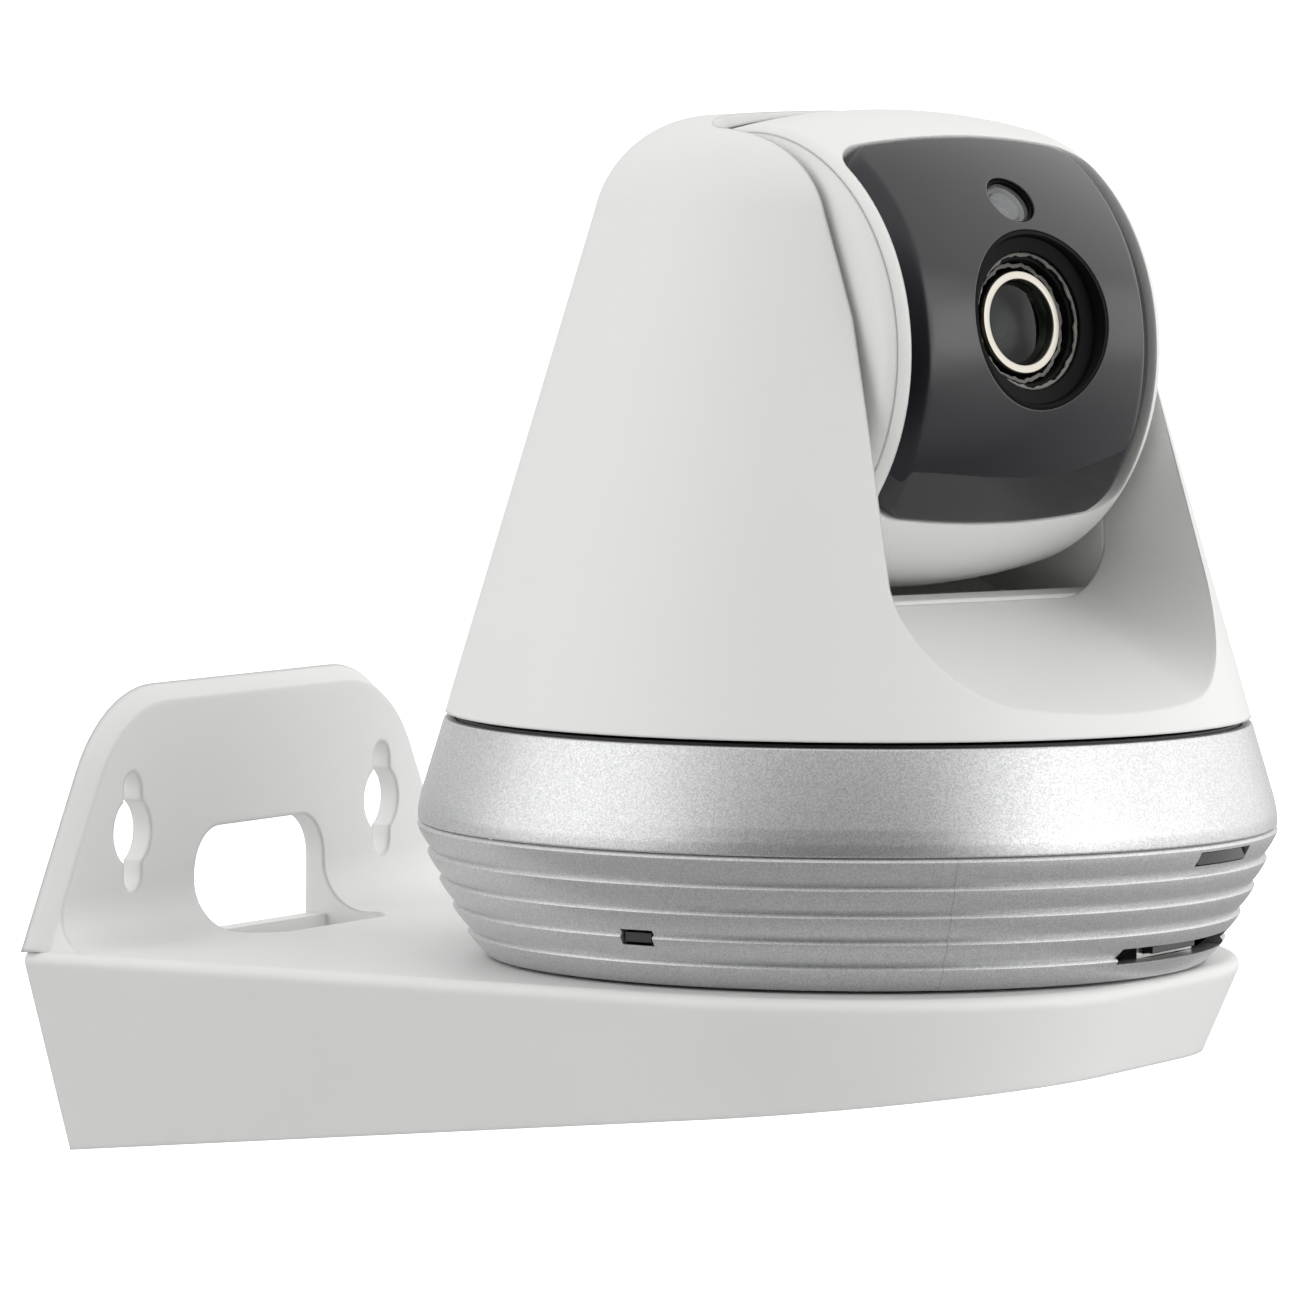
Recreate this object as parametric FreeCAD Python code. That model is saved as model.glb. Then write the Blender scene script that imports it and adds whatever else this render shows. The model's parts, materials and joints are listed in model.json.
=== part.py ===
import FreeCAD, Part
import math
import os

# Baby monitor camera on its wall bracket. Millimetres, +Z up, wall at y = 0, camera towards -Y.
# The origin is on the wall face, midway between the two keyholes.

os.makedirs("parts", exist_ok=True)
V = FreeCAD.Vector
PI = math.pi

# ---- driving dimensions -------------------------------------------------------------------------------
PLATE_T = 2.6          # wall plate thickness
AXIS_OUT = 83.1        # camera axis in front of the wall
KEY_HALF = 28.4        # half of the keyhole spacing
KEY_Z = 12.7           # keyhole centres above the shelf top
SHELF_T = 2.5
SHELF_HALF = 48.0      # half width of the shelf
SHELF_FRONT = 42.5     # shelf front edge beyond the camera axis
DRAFT = 0.42           # inward slope of the skirt
DEEP_WALL, DEEP_FRONT = 24.3, 10.3
PAN_REST = -20.0       # head direction at rest, degrees about +Z
TILT_REST = 8.7        # lens above the horizon at rest
CONE_SLOPE = 0.2932
CONE_R, CONE_Z = 46.9, 28.3
TILT_A, TILT_Z = 5.5, 70.9   # tilt axis: forward of the camera axis, and height
HEAD_R, CROWN_R = 27.6, 95.0
HEAD_HALF = 21.3
GAP = 0.45             # head to cap clearance
MODULE = 0.5


# ---- helpers -----------------------------------------------------------------------------------------
def box(x0, x1, y0, y1, z0, z1):
    return Part.makeBox(x1 - x0, y1 - y0, z1 - z0, V(x0, y0, z0))


def cyl(r, z0, z1, x=0.0, y=0.0):
    return Part.makeCylinder(r, z1 - z0, V(x, y, z0))


def cyl_x(r, x0, x1, y=0.0, z=0.0):
    return Part.makeCylinder(r, x1 - x0, V(x0, y, z), V(1, 0, 0))


def cyl_y(r, y0, y1, x=0.0, z=0.0):
    return Part.makeCylinder(r, y1 - y0, V(x, y0, z), V(0, 1, 0))


def tube(r0, r1, z0, z1, x=0.0, y=0.0):
    return cyl(r1, z0, z1, x, y).cut(cyl(r0, z0 - 1, z1 + 1, x, y))


def path(items):
    """Closed wire: each item is an end point, or (through, end) for an arc."""
    edges, start = [], items[0]
    here = start
    for it in items[1:] + [start]:
        if isinstance(it, tuple):
            edges.append(Part.Arc(here, it[0], it[1]).toShape())
            here = it[1]
        else:
            if here.distanceToPoint(it) > 1e-6:
                edges.append(Part.makeLine(here, it))
            here = it
    return Part.Wire(edges)


def revolve_z(items):
    return Part.Face(path(items)).revolve(V(0, 0, 0), V(0, 0, 1), 360)


def P(r, z):
    return V(r, 0, z)


def dome(r_edge, h_edge, h_top, r):
    """Height at radius r of the ball cap from (r_edge, h_edge) to its pole at h_top."""
    sag = h_edge - h_top
    ball = (r_edge * r_edge + sag * sag) / (2 * sag)
    return h_top + ball - math.copysign(math.sqrt(ball * ball - r * r), ball)


def ring_cut(solid, cutters):
    for c in cutters:
        solid = solid.cut(c)
    return solid


def joined(solids):
    out = solids[0]
    for s in solids[1:]:
        out = out.fuse(s)
    return out.removeSplitter()


def gear(teeth, z0, z1, bore, phase):
    """Spur gear about +Z, tooth 0 centred at phase degrees, a little backlash."""
    rp = MODULE * teeth / 2
    rb = rp * math.cos(math.radians(20))
    ra, rf = rp + 0.9 * MODULE, rp - 1.2 * MODULE
    inv20 = math.tan(math.radians(20)) - math.radians(20)

    def half_angle(r):
        r = max(r, rb)
        a = math.acos(min(1.0, rb / r))
        return (PI * MODULE / 2 - 0.06) / (2 * rp) + inv20 - (math.tan(a) - a)

    pts = []
    for k in range(teeth):
        c = math.radians(phase) + 2 * PI * k / teeth
        flank = [(rf, half_angle(rb) * 1.02), (max(rb, rf + 0.05), half_angle(rb)), (rp, half_angle(rp)),
                 (ra, half_angle(ra))]
        for r, h in flank:
            pts.append(V(r * math.cos(c - h), r * math.sin(c - h), z0))
        for r, h in reversed(flank):
            pts.append(V(r * math.cos(c + h), r * math.sin(c + h), z0))
    wheel = Part.Face(Part.makePolygon(pts + [pts[0]])).extrude(V(0, 0, z1 - z0))
    return wheel.cut(cyl(bore, z0 - 1, z1 + 1)) if bore else wheel


def to_x(s):
    """Turns a piece built about +Z so that it runs along +X."""
    s = s.copy()
    s.rotate(V(0, 0, 0), V(0, 1, 0), 90)
    return s


def moved(s, x=0.0, y=0.0, z=0.0):
    s = s.copy()
    s.translate(V(x, y, z))
    return s


def turned(s, deg, axis=V(0, 0, 1), at=V(0, 0, 0)):
    s = s.copy()
    s.rotate(at, axis, deg)
    return s


# ---- frames ------------------------------------------------------------------------------------------
def unit(s):
    """Camera frame: its axis on z, shelf top at z = 0, front towards -Y."""
    return moved(s, 0, -AXIS_OUT, -KEY_Z)


def yoke(s):
    return unit(turned(s, PAN_REST))


def head(s):
    """Head frame: origin on the tilt axis, lens towards -Y."""
    return yoke(moved(turned(s, -TILT_REST, V(1, 0, 0)), 0, -TILT_A, TILT_Z))


def save(name, shape):
    shape.exportStep("parts/%s.step" % name)


# ---- wall bracket ------------------------------------------------------------------------------------
def shelf_outline(z, inset, rear):
    w, f, r = SHELF_HALF - inset, -AXIS_OUT - SHELF_FRONT + inset, 38.0 - inset
    k = r * math.sqrt(0.5)
    return path([V(w, rear, z), V(w, f + r, z), (V(w - r + k, f + r - k, z), V(w - r, f, z)),
                 V(-w + r, f, z), (V(-w + r - k, f + r - k, z), V(-w, f + r, z)), V(-w, rear, z)])


def skirt(inset, z_top, rear):
    low = -27.0
    a = shelf_outline(z_top, inset - DRAFT * z_top, rear)
    b = shelf_outline(low, inset - DRAFT * low, rear)
    return Part.makeLoft([a, b], True, True)


def plate_outline(y, inset):
    side, low_half, top, r = 0.57, SHELF_HALF + 0.3 - inset, 29.8 - inset, 19.0 - inset
    slope = math.atan(side)
    x_top = low_half - side * top
    t = r * math.tan((PI / 2 - slope) / 2)
    cx, cz = x_top - t, top - r
    mid = (PI / 2 + slope) / 2
    tang = V(cx + r * math.cos(slope), y, cz + r * math.sin(slope))
    arc_mid = V(cx + r * math.cos(mid), y, cz + r * math.sin(mid))
    pts = [V(-low_half, y, 0), V(low_half, y, 0), tang, (arc_mid, V(cx, y, top)), V(-cx, y, top),
           (V(-arc_mid.x, y, arc_mid.z), V(-tang.x, y, tang.z))]
    return path(pts)


def keyhole(x):
    up = KEY_Z
    slot = box(x - 2, x + 2, -9, 3, up - 5.1, up + 5.1)
    ends = [cyl_y(2.0, -9, 3, x, up + s * 5.1) for s in (-1, 1)]
    return joined([slot, cyl_y(4.1, -9, 3, x, up)] + ends)


def wall_bracket():
    outer = skirt(0.0, 0.0, 0.0)
    top = [e for e in outer.Edges if abs(e.BoundBox.ZMax) < 1e-6 and abs(e.BoundBox.ZMin) < 1e-6
           and e.BoundBox.YMin < -1]
    outer = outer.makeFillet(1.1, top)
    inner = skirt(2.4, -SHELF_T, -PLATE_T)
    run = AXIS_OUT + SHELF_FRONT
    slope = (DEEP_WALL - DEEP_FRONT) / run
    below = Part.Face(path([V(-90, 5, -DEEP_WALL + 5 * -slope), V(-90, 5, -60), V(-90, -run - 20, -60),
                            V(-90, -run - 20, -DEEP_FRONT + 20 * slope)])).extrude(V(180, 0, 0))
    plate = Part.makeLoft([plate_outline(0, 0), plate_outline(-PLATE_T, 2.0)], True, True)
    r = 6.0
    cove = Part.Face(path([V(-60, -PLATE_T + 0.5, -1), V(-60, -PLATE_T + 0.5, r),
                           V(-60, -PLATE_T, r),
                           (V(-60, -PLATE_T - r * (1 - math.sqrt(0.5)), r * (1 - math.sqrt(0.5))),
                            V(-60, -PLATE_T - r, 0)), V(-60, -PLATE_T - r, -1)])).extrude(V(120, 0, 0))
    shape_of_plate = Part.Face(plate_outline(1, 2.0)).extrude(V(0, -30, 0))
    cove = cove.common(shape_of_plate.fuse(box(-45.9, 45.9, -30, 1, -2, 0.05)))
    body = joined([outer.cut(inner).cut(below), plate, cove])
    w, h, c = 14.8, 12.1, 5.5
    k = c * (1 - math.sqrt(0.5))
    arch = [V(-w, 3, -0.6), V(w, 3, -0.6), V(w, 3, h - c), (V(w - k, 3, h - k), V(w - c, 3, h)),
            V(-w + c, 3, h), (V(-w + k, 3, h - k), V(-w, 3, h - c))]
    arch = Part.Face(path(arch)).extrude(V(0, -14, 0))
    y0, y1, q = -PLATE_T - 0.4, -PLATE_T - 11.0, 5.0
    k = q * (1 - math.sqrt(0.5))
    well = Part.Face(path([V(-w, y0, -4), V(-w, y1 + q, -4), (V(-w + k, y1 + k, -4), V(-w + q, y1, -4)),
                           V(w - q, y1, -4), (V(w - k, y1 + k, -4), V(w, y1 + q, -4)),
                           V(w, y0, -4)])).extrude(V(0, 0, 12))
    post = cyl(3.6, -5, 2, 0, -AXIS_OUT)
    return moved(ring_cut(body, [arch, well, keyhole(-KEY_HALF), keyhole(KEY_HALF), post]), 0, 0, -KEY_Z)


# ---- base: fixed to the shelf ------------------------------------------------------------------------
LOBES = [(44.0, 2.7), (45.8, 5.8), (47.35, 8.8), (48.7, 11.8), (50.0, 15.25)]
NOTCHES = [(43.6, 3.4), (45.4, 6.3), (46.95, 9.35), (48.25, 12.5), (49.8, 15.65)]
SPK = V(-19.8, 15.9, 0)          # speaker centre
MOTOR_AZ = 35.0                  # pan motor direction
PIN_R = 24.0                     # pan pinion to pan axis
LED_AZ = -2.2                    # status window direction
BOARD_Z0, BOARD_Z1 = 4.4, 5.6


def polar(r, deg):
    """Point at radius r; 0 degrees is the camera's front (-Y), positive towards +X."""
    a = math.radians(deg)
    return V(r * math.sin(a), -r * math.cos(a), 0)


def facing(s, deg):
    """Turns a piece built at the front round to azimuth deg."""
    return turned(s, deg)


def base_bowl():
    items = [P(38.9, 0.5), P(41.7, 0.5)]
    for (lr, lz), (nr, nz) in zip(LOBES, NOTCHES):
        last = items[-1] if not isinstance(items[-1], tuple) else items[-1][1]
        mid = V((last.x + lr) / 2 + 0.16, 0, (last.z + lz) / 2 - 0.12)
        items.append((mid, P(lr, lz)))
        items.append((P(lr - 0.02, lz + 0.3), P(nr, nz)))
    items += [P(47.8, 15.65), P(46.2, 12.5), P(43.3, 6.4), P(41.9, 3.2), P(38.9, 3.2)]
    shell = revolve_z(items)
    led = facing(box(-5.9, 5.9, -52, -42, 13.45, 15.1), LED_AZ)
    card = joined([box(-13.8, 13.8, -52, -36, 2.5, 4.3)])
    reset = facing(box(-2.1, 2.1, -52, -38, 5.0, 6.8), -93.0)
    jack = cyl_y(3.6, 38, 52, 0, 9.6)
    return ring_cut(shell, [led, card, reset, jack])


def base_band():
    shell = revolve_z([P(47.95, 15.95), P(49.95, 15.95), (P(49.93, 17.4), P(49.6, 19.0)), P(46.95, 27.8),
                       P(45.75, 27.8), P(45.75, 25.2), P(46.3, 25.0), P(47.75, 18.9)])
    return shell


def base_deck():
    plate = revolve_z([P(9.06, 25.4), P(45.65, 25.4), P(45.65, 28.1), P(45.0, 28.1), P(45.0, 27.4),
                       P(9.06, 27.4)])
    c = polar(PIN_R, MOTOR_AZ)
    posts = []
    for s in (-1, 1):
        p = turned(moved(cyl(1.8, 20.2, 25.5), s * 11.6, 0, 0), MOTOR_AZ)
        posts.append(moved(p, c.x, c.y, 0))
    return joined([plate] + posts)


COVER_SCREWS = (20, 95, 200, 275)


def bottom_cover():
    plate = cyl(38.7, 0.6, 2.2)
    ring = tube(31.8, 36.2, 0, 1.3)
    boss = tube(5.5, 8.0, 2.2, 9.4)
    grille = []
    for n, r in ((1, 0.0), (6, 3.2), (12, 6.2)):
        for k in range(n):
            a = 2 * PI * k / n
            grille.append(cyl(0.8, 0, 3, SPK.x + r * math.cos(a), SPK.y + r * math.sin(a)))
    spots = [polar(28.5, d) for d in COVER_SCREWS]
    holes = [cyl(1.35, 0, 3, c.x, c.y) for c in spots]
    bore = cyl(5.5, 0, 4)
    return ring_cut(joined([plate, boss]), [Part.makeCompound(grille)] + holes + [ring, bore])


def base_screws():
    out = []
    for d in COVER_SCREWS:
        c = polar(28.5, d)
        s = joined([cyl(1.25, 0.75, 4.2, c.x, c.y), cyl(1.25, 0.75, 2.2, c.x, c.y)])
        out.append(s.cut(box(c.x - 0.9, c.x + 0.9, c.y - 0.2, c.y + 0.2, 0.5, 1.2)))
    return Part.makeCompound(out)


def main_board():
    b = cyl(37.0, BOARD_Z0, BOARD_Z1).cut(cyl(8.6, 0, 9))
    b = b.cut(cyl(13.6, 0, 9, SPK.x, SPK.y))
    for d in COVER_SCREWS:
        c = polar(28.5, d)
        b = b.cut(cyl(1.6, 0, 9, c.x, c.y))
    return b.cut(facing(box(-3.4, 3.4, -40, -32.6, 0, 9), -93.0))


def on_board(x0, x1, y0, y1, h, d):
    return facing(box(x0, x1, y0, y1, BOARD_Z1, BOARD_Z1 + h), d)


def main_chips():
    out = [on_board(-5, 5, -24, -14, 1.1, -20), on_board(-4, 4, -32, -26, 0.9, -20),
           on_board(-3, 3, -30, -24, 1.0, 60), on_board(-2, 2, -17, -12, 0.8, 75),
           on_board(-2.5, 2.5, -18, -12, 1.5, 150)]
    for r, d, cr, h in ((33, 150, 2.5, 5.5), (26, 152, 2.0, 4.5), (33, 32, 2.0, 4.0)):
        c = polar(r, d)
        out.append(cyl(cr, BOARD_Z1, BOARD_Z1 + h, c.x, c.y))
    return Part.makeCompound(out)


def shield_can():
    can = on_board(-7, 7, -31, -19, 2.4, -55)
    return can.cut(facing(box(-6.7, 6.7, -30.7, -19.3, BOARD_Z1 - 1, BOARD_Z1 + 2.1), -55))


def microsd_socket():
    s = box(-7.2, 7.2, -41.0, -27.5, 2.55, BOARD_Z0)
    s = s.cut(box(-5.7, 5.7, -42, -29.0, 2.95, 3.95))
    return s


def power_inlet():
    s = box(-4.6, 4.6, 31.5, 42.5, BOARD_Z1, 13.8)
    nose = cyl_y(3.5, 42.5, 46.2, 0, 9.6)
    s = joined([s, nose]).cut(cyl_y(3.0, 35.0, 50, 0, 9.6))
    return joined([s, cyl_y(0.8, 33, 45.0, 0, 9.6)])


def speaker_frame():
    s = tube(11.4, 13.0, 2.3, 5.0, SPK.x, SPK.y)
    back = cyl(11.6, 5.0, 5.8, SPK.x, SPK.y)
    magnet = cyl(8.0, 5.8, 8.4, SPK.x, SPK.y)
    return joined([s, back, magnet])


def speaker_cone():
    s = Part.Face(path([P(0, 3.7), P(4.0, 3.2), P(10.9, 2.6), P(11.3, 2.6), P(11.3, 2.9), P(4.2, 3.7),
                        P(0, 4.2)])).revolve(V(0, 0, 0), V(0, 0, 1), 360)
    return moved(s, SPK.x, SPK.y, 0)


def led_window():
    s = tube(46.6, 49.3, 13.6, 14.95)
    return s.common(facing(box(-5.75, 5.75, -52, -40, 13, 16), LED_AZ))


def led_board():
    s = facing(box(-6.5, 6.5, -42.6, -41.8, 9.0, 15.2), LED_AZ)
    posts = [facing(box(x - 0.5, x + 0.5, -41.8, -40.5, 9.4, 15.0), LED_AZ) for x in (-5, 5)]
    return joined([s] + posts)


def status_leds():
    chips = [box(x - 0.9, x + 0.9, -44.0, -42.6, 13.8, 14.8) for x in (-3, 0, 3)]
    return Part.makeCompound([facing(c, LED_AZ) for c in chips])


def wifi_antenna():
    return facing(box(-12, 12, -40.6, -40.0, 9.0, 16.5), 80.0)


def reset_switch():
    s = box(-3.1, 3.1, -36.6, -32.9, 4.2, 7.4)
    return facing(s, -93.0)


def reset_button():
    stem = box(-1.75, 1.75, -45.3, -41.6, 5.35, 6.45)
    pad = box(-2.6, 2.6, -41.6, -40.0, 4.7, 7.1)
    nib = box(-0.9, 0.9, -40.0, -37.6, 5.3, 6.5)
    return facing(joined([stem, pad, nib]), -93.0)


def pan_motor():
    c = polar(PIN_R, MOTOR_AZ)
    can = cyl(9.5, 11.6, 20.2, c.x, c.y)
    lug = turned(box(-13.5, 13.5, -3, 3, 19.4, 20.2), MOTOR_AZ)
    lug = moved(lug, c.x, c.y, 0)
    return joined([can, lug]).cut(cyl(1.05, 15, 21, c.x, c.y))


def pan_pinion():
    c = polar(PIN_R, MOTOR_AZ)
    az = MOTOR_AZ - 90.0
    g = gear(16, 21.2, 23.4, 0, az + 180 + 180.0 / 16)
    return moved(joined([g, cyl(1.0, 15.4, 21.2)]), c.x, c.y, 0)


# ---- thumbscrew under the shelf ----------------------------------------------------------------------
def thumb_screw():
    s = joined([cyl(3.18, -8, 8.4), cyl(6.0, -8, -3.7), cyl(10.5, -12.5, -6.2)])
    for k in range(18):
        a = 2 * PI * k / 18
        s = s.cut(cyl(0.9, -13, -6, 10.9 * math.cos(a), 10.9 * math.sin(a)))
    return s.cut(box(-7.5, 7.5, -0.6, 0.6, -13, -11.4))


def screw_washer():
    return tube(3.25, 8.0, -3.65, -2.55)


# ---- yoke: pans --------------------------------------------------------------------------------------
def cone_r(z):
    return CONE_R - CONE_SLOPE * (z - CONE_Z)


def cone_solid(t, z0):
    """The yoke's outer form, t mm inside it: cone, shoulder, crown and an almost flat top."""
    k = t * 1.04
    start = 86.6 if t == 0 else 86.0
    shoulder = (P(27.5 - 0.85 * t, 91.8 - 0.5 * t), P(22.4 - 0.5 * t, 96.15 - 0.85 * t))
    crown_r, crown_z, pole = 16.6 - 0.2 * t, 97.75 - 0.95 * t, 98.35 - t
    crown = (P(19.9 - 0.3 * t, 97.15 - 0.9 * t), P(crown_r, crown_z))
    cap = (P(8.5, dome(crown_r, crown_z, pole, 8.5)), P(0, pole))
    return revolve_z([P(0, z0), P(cone_r(z0) - k, z0), P(cone_r(start) - k, start), shoulder, crown, cap])


def wall_half(z):
    return 24.2 - 2.1 * (z - 46.0) / 29.0


def u_section(y, z_low, r, grow, w_low):
    """Slot section: flat floor, rounded corners, walls that lean in to z = 75, then straight up."""
    w0, w1, f = w_low + grow, 22.1 + grow, z_low - grow
    r = r + grow
    k = r * (1 - math.sqrt(0.5))
    return path([V(-w0 + r, y, f), V(w0 - r, y, f), (V(w0 - k, y, f + k), V(w0, y, f + r)),
                 V(w1, y, 75), V(w1, y, 110), V(-w1, y, 110), V(-w1, y, 75), V(-w0, y, f + r),
                 (V(-w0 + k, y, f + k), V(-w0 + r, y, f))])


EDGE_A = 17.5          # liner front edge


def slot_tool(grow, a_back):
    """The scooped slot in front of the liner."""
    def at(a):
        t = (a - 16.0) / 32.0
        return u_section(-a, 42.6 - 12.3 * t, 6.5 + 5.5 * t, grow, 24.2 + 0.7 * t)
    return Part.makeLoft([at(a_back), at(56.0)], True, True)


def barrel(d, wide=None):
    """Head form of revolution about X, d mm inside the surface (negative is outside)."""
    h = HEAD_HALF - d if wide is None else wide
    s, R = 19.0, HEAD_R - d
    e = R - s * s / (2 * CROWN_R)
    if wide is None:
        items = [V(-h, 0, 0), V(-h, 0, e - 3.1), (V(-h + 0.65, 0, e - 1.1), V(-s, 0, e)),
                 (V(0, 0, R), V(s, 0, e)), (V(h - 0.65, 0, e - 1.1), V(h, 0, e - 3.1)), V(h, 0, 0)]
    else:
        e = R - h * h / (2 * CROWN_R)
        items = [V(-h, 0, 0), V(-h, 0, e), (V(0, 0, R), V(h, 0, e)), V(h, 0, 0)]
    return Part.Face(path(items)).revolve(V(0, 0, 0), V(1, 0, 0), 360)


LIP_A = -2.4           # rear edge of the slot in the cap


def yoke_shell():
    outer = cone_solid(0, 28.5)
    inner = cone_solid(1.9, 28.0)
    wall = slot_tool(1.7, EDGE_A).common(box(-60, 60, -60, -EDGE_A, 0, 120))
    cavity = inner.cut(wall)
    r = 5.0
    k = r * (1 - math.sqrt(0.5))
    w, rear = 22.1, -LIP_A
    top = [V(-w, -30, 60), V(w, -30, 60), V(w, rear - r, 60), (V(w - k, rear - k, 60), V(w - r, rear, 60)),
           V(-w + r, rear, 60), (V(-w + k, rear - k, 60), V(-w, rear - r, 60))]
    top = Part.Face(path(top)).extrude(V(0, 0, 60))
    sweep = moved(barrel(-GAP, 22.05), 0, -TILT_A, TILT_Z)
    shell = outer.cut(cavity).cut(slot_tool(0, EDGE_A - 0.4)).cut(top).cut(sweep)
    return shell


def liner_channel(grow):
    section = u_section(-EDGE_A - 0.01, 30.0, 2.0, grow, wall_half(32.0))
    return Part.Face(section).extrude(V(0, 60, 0))


def tilt_drum(r):
    return moved(cyl_x(r, -40, 40), 0, -TILT_A, TILT_Z)


def yoke_liner():
    """Curved trough behind the head, from the scoop's rear edge up to the cap."""
    prow = Part.Face(path([V(-40, -14.4, 43.0), V(-40, -18.5, 42.3), V(-40, -18.5, 48), V(-40, -14.4, 48)]))
    prow = prow.extrude(V(80, 0, 0))
    front = moved(prow, 0, 0, -1.3).common(box(-40, 40, -EDGE_A, 0, 0, 60))
    block = tilt_drum(30.7).fuse(front).common(liner_channel(1.3))
    block = block.common(cone_solid(2.1, 32.0)).common(box(-60, 60, -EDGE_A + 0.06, 60, 0, 89.0))
    shell = block.cut(tilt_drum(29.4).fuse(prow).common(liner_channel(0)))
    shell = ring_cut(shell, [cyl_x(3.6, s * 23 - 2, s * 23 + 2, -TILT_A, TILT_Z) for s in (-1, 1)])
    return shell.cut(box(-60, 60, -LIP_A - 8.0, 60, 88.0, 120))


YOKE_SCREWS = (62, 135, 225, 298)


def turntable():
    plate = tube(6.0, 43.9, 29.2, 31.0)
    hub = tube(6.0, 9.0, 23.4, 29.2)
    tail = tube(6.0, 7.0, 20.4, 23.4)
    spots = [polar(40.0, d) for d in YOKE_SCREWS]
    table = joined([plate, hub, tail] + [cyl(2.4, 30.9, 36.0, c.x, c.y) for c in spots])
    flat = box(-27, 27, -50, -39.0, 29, 32)      # clear of the scoop's floor
    return ring_cut(table, [cyl(1.0, 29, 37, c.x, c.y) for c in spots] + [flat])


def turntable_washers():
    """Thrust washer on the deck, and the clip that holds the pan gear on the hub."""
    return Part.makeCompound([tube(12.0, 16.0, 27.45, 29.2), tube(7.0, 9.2, 20.5, 21.2)])


def pan_gear():
    az = MOTOR_AZ - 90.0
    return gear(80, 21.3, 23.3, 7.0, az)


def yoke_screws():
    out = []
    for d in YOKE_SCREWS:
        c = polar(40.0, d)
        out.append(joined([cyl(1.5, 28.3, 29.2, c.x, c.y), cyl(1.0, 29.2, 34.0, c.x, c.y)]))
    return Part.makeCompound(out)


TG_X0, TG_X1 = 25.9, 27.5     # tilt train plane
IDLER_DOWN, MOTOR_DOWN = 13.5, 21.0


def train(g, down):
    """Puts a gear built about +Z on an X axis, down mm below the tilt axis."""
    return moved(to_x(g), 0, -TILT_A, TILT_Z - down)


def tilt_idler():
    # phase 180 about +Z becomes straight up after the turn to X
    return train(gear(18, TG_X0, TG_X1, 1.05, 180 + 10.0), IDLER_DOWN)


def tilt_pinion():
    return train(joined([gear(12, TG_X0, TG_X1, 0, 180.0), cyl(0.9, TG_X1, 31.0)]), MOTOR_DOWN)


def tilt_motor():
    can = joined([cyl(7.2, 28.8, 35.0), box(-2.6, 2.6, -10.5, 10.5, 28.8, 29.6)])
    return train(can.cut(cyl(0.95, 27, 31.5)), MOTOR_DOWN)


def tilt_train_pins():
    """Idler pin and the two posts of the tilt motor."""
    out = [train(joined([cyl(1.0, 24.95, 28.2), cyl(2.2, 24.95, 25.5), cyl(1.6, 27.85, 28.4)]), IDLER_DOWN)]
    for s in (-1, 1):
        out.append(train(cyl(1.6, 25.45, 28.8, 0, s * 9.0), MOTOR_DOWN))
    return Part.makeCompound(out)


def tilt_bushes():
    out = []
    for s in (-1, 1):
        a, b = sorted((s * 22.5, s * 24.4))
        out.append(moved(cyl_x(3.6, a, b).cut(cyl_x(2.55, a - 1, b + 1)), 0, -TILT_A, TILT_Z))
    return Part.makeCompound(out)


# ---- head: tilts -------------------------------------------------------------------------------------
PANEL_UP, PANEL_LOW, PANEL_HALF = 54.3, -53.7, 19.0
SENSOR_UP = 30.6


def sector(up, low, half_width, r_in, r_out, r_corner):
    """Slab round the tilt axis between two angles, corners rounded."""
    def pt(r, a):
        a = math.radians(a)
        return V(-half_width, -r * math.cos(a), r * math.sin(a))
    mid = (up + low) / 2
    face = Part.Face(path([pt(r_in, low), (pt(r_in, mid), pt(r_in, up)), pt(r_out, up),
                           (pt(r_out, mid), pt(r_out, low))]))
    slab = face.extrude(V(2 * half_width, 0, 0))
    edges = []
    for e in slab.Edges:
        if len(e.Vertexes) == 2:
            p, q = e.Vertexes[0].Point, e.Vertexes[1].Point
            rp, rq = math.hypot(p.y, p.z), math.hypot(q.y, q.z)
            if abs(p.x - q.x) < 1e-6 and abs(abs(rp - rq) - (r_out - r_in)) < 1e-6:
                edges.append(e)
    return slab.makeFillet(r_corner, edges)


def radial(s, up):
    """Turns a piece built on the lens axis up the barrel by up degrees."""
    return turned(s, -up, V(1, 0, 0))


def lens_hole(r):
    return cyl_y(r, -40, -5)


def head_skin():
    return barrel(0).cut(barrel(1.8)).cut(cyl_x(23.1, -22, 22))


def head_front_shell():
    skin = head_skin().common(box(-20.35, 20.35, -40, 8.0, -40, 40))
    pocket = sector(PANEL_UP + 0.15, PANEL_LOW - 0.15, PANEL_HALF + 0.08, 20.0, 32.0, 4.0).cut(barrel(1.55))
    window = sector(PANEL_UP - 7, PANEL_LOW + 7, PANEL_HALF - 2.6, 15.0, 32.0, 3.0)
    ledge = barrel(1.55).cut(barrel(2.9)).cut(cyl_x(23.1, -22, 22))
    ledge = ledge.common(sector(PANEL_UP + 3, PANEL_LOW - 3, 19.6, 15.0, 32.0, 4.0))
    ledge = ledge.common(box(-19.4, 19.4, -40, 8, -40, 40))
    return joined([skin.cut(pocket), ledge]).cut(window)


def head_rear_shell():
    return head_skin().common(box(-20.35, 20.35, 8.08, 40, -40, 40))


def head_side_caps():
    out = []
    for s in (-1, 1):
        a, b = sorted((s * 20.42, s * 22.0))
        c = barrel(0).common(box(a, b, -40, 40, -40, 40))
        i0, i1 = sorted((s * 19.2, s * 20.42))
        spigot = cyl_x(22.9, i0, i1).cut(cyl_x(21.4, i0 - 1, i1 + 1))
        c = joined([c, spigot]).cut(cyl_x(2.5, s * 21 - 3, s * 21 + 3))
        out.append(c)
    return Part.makeCompound(out)


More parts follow.
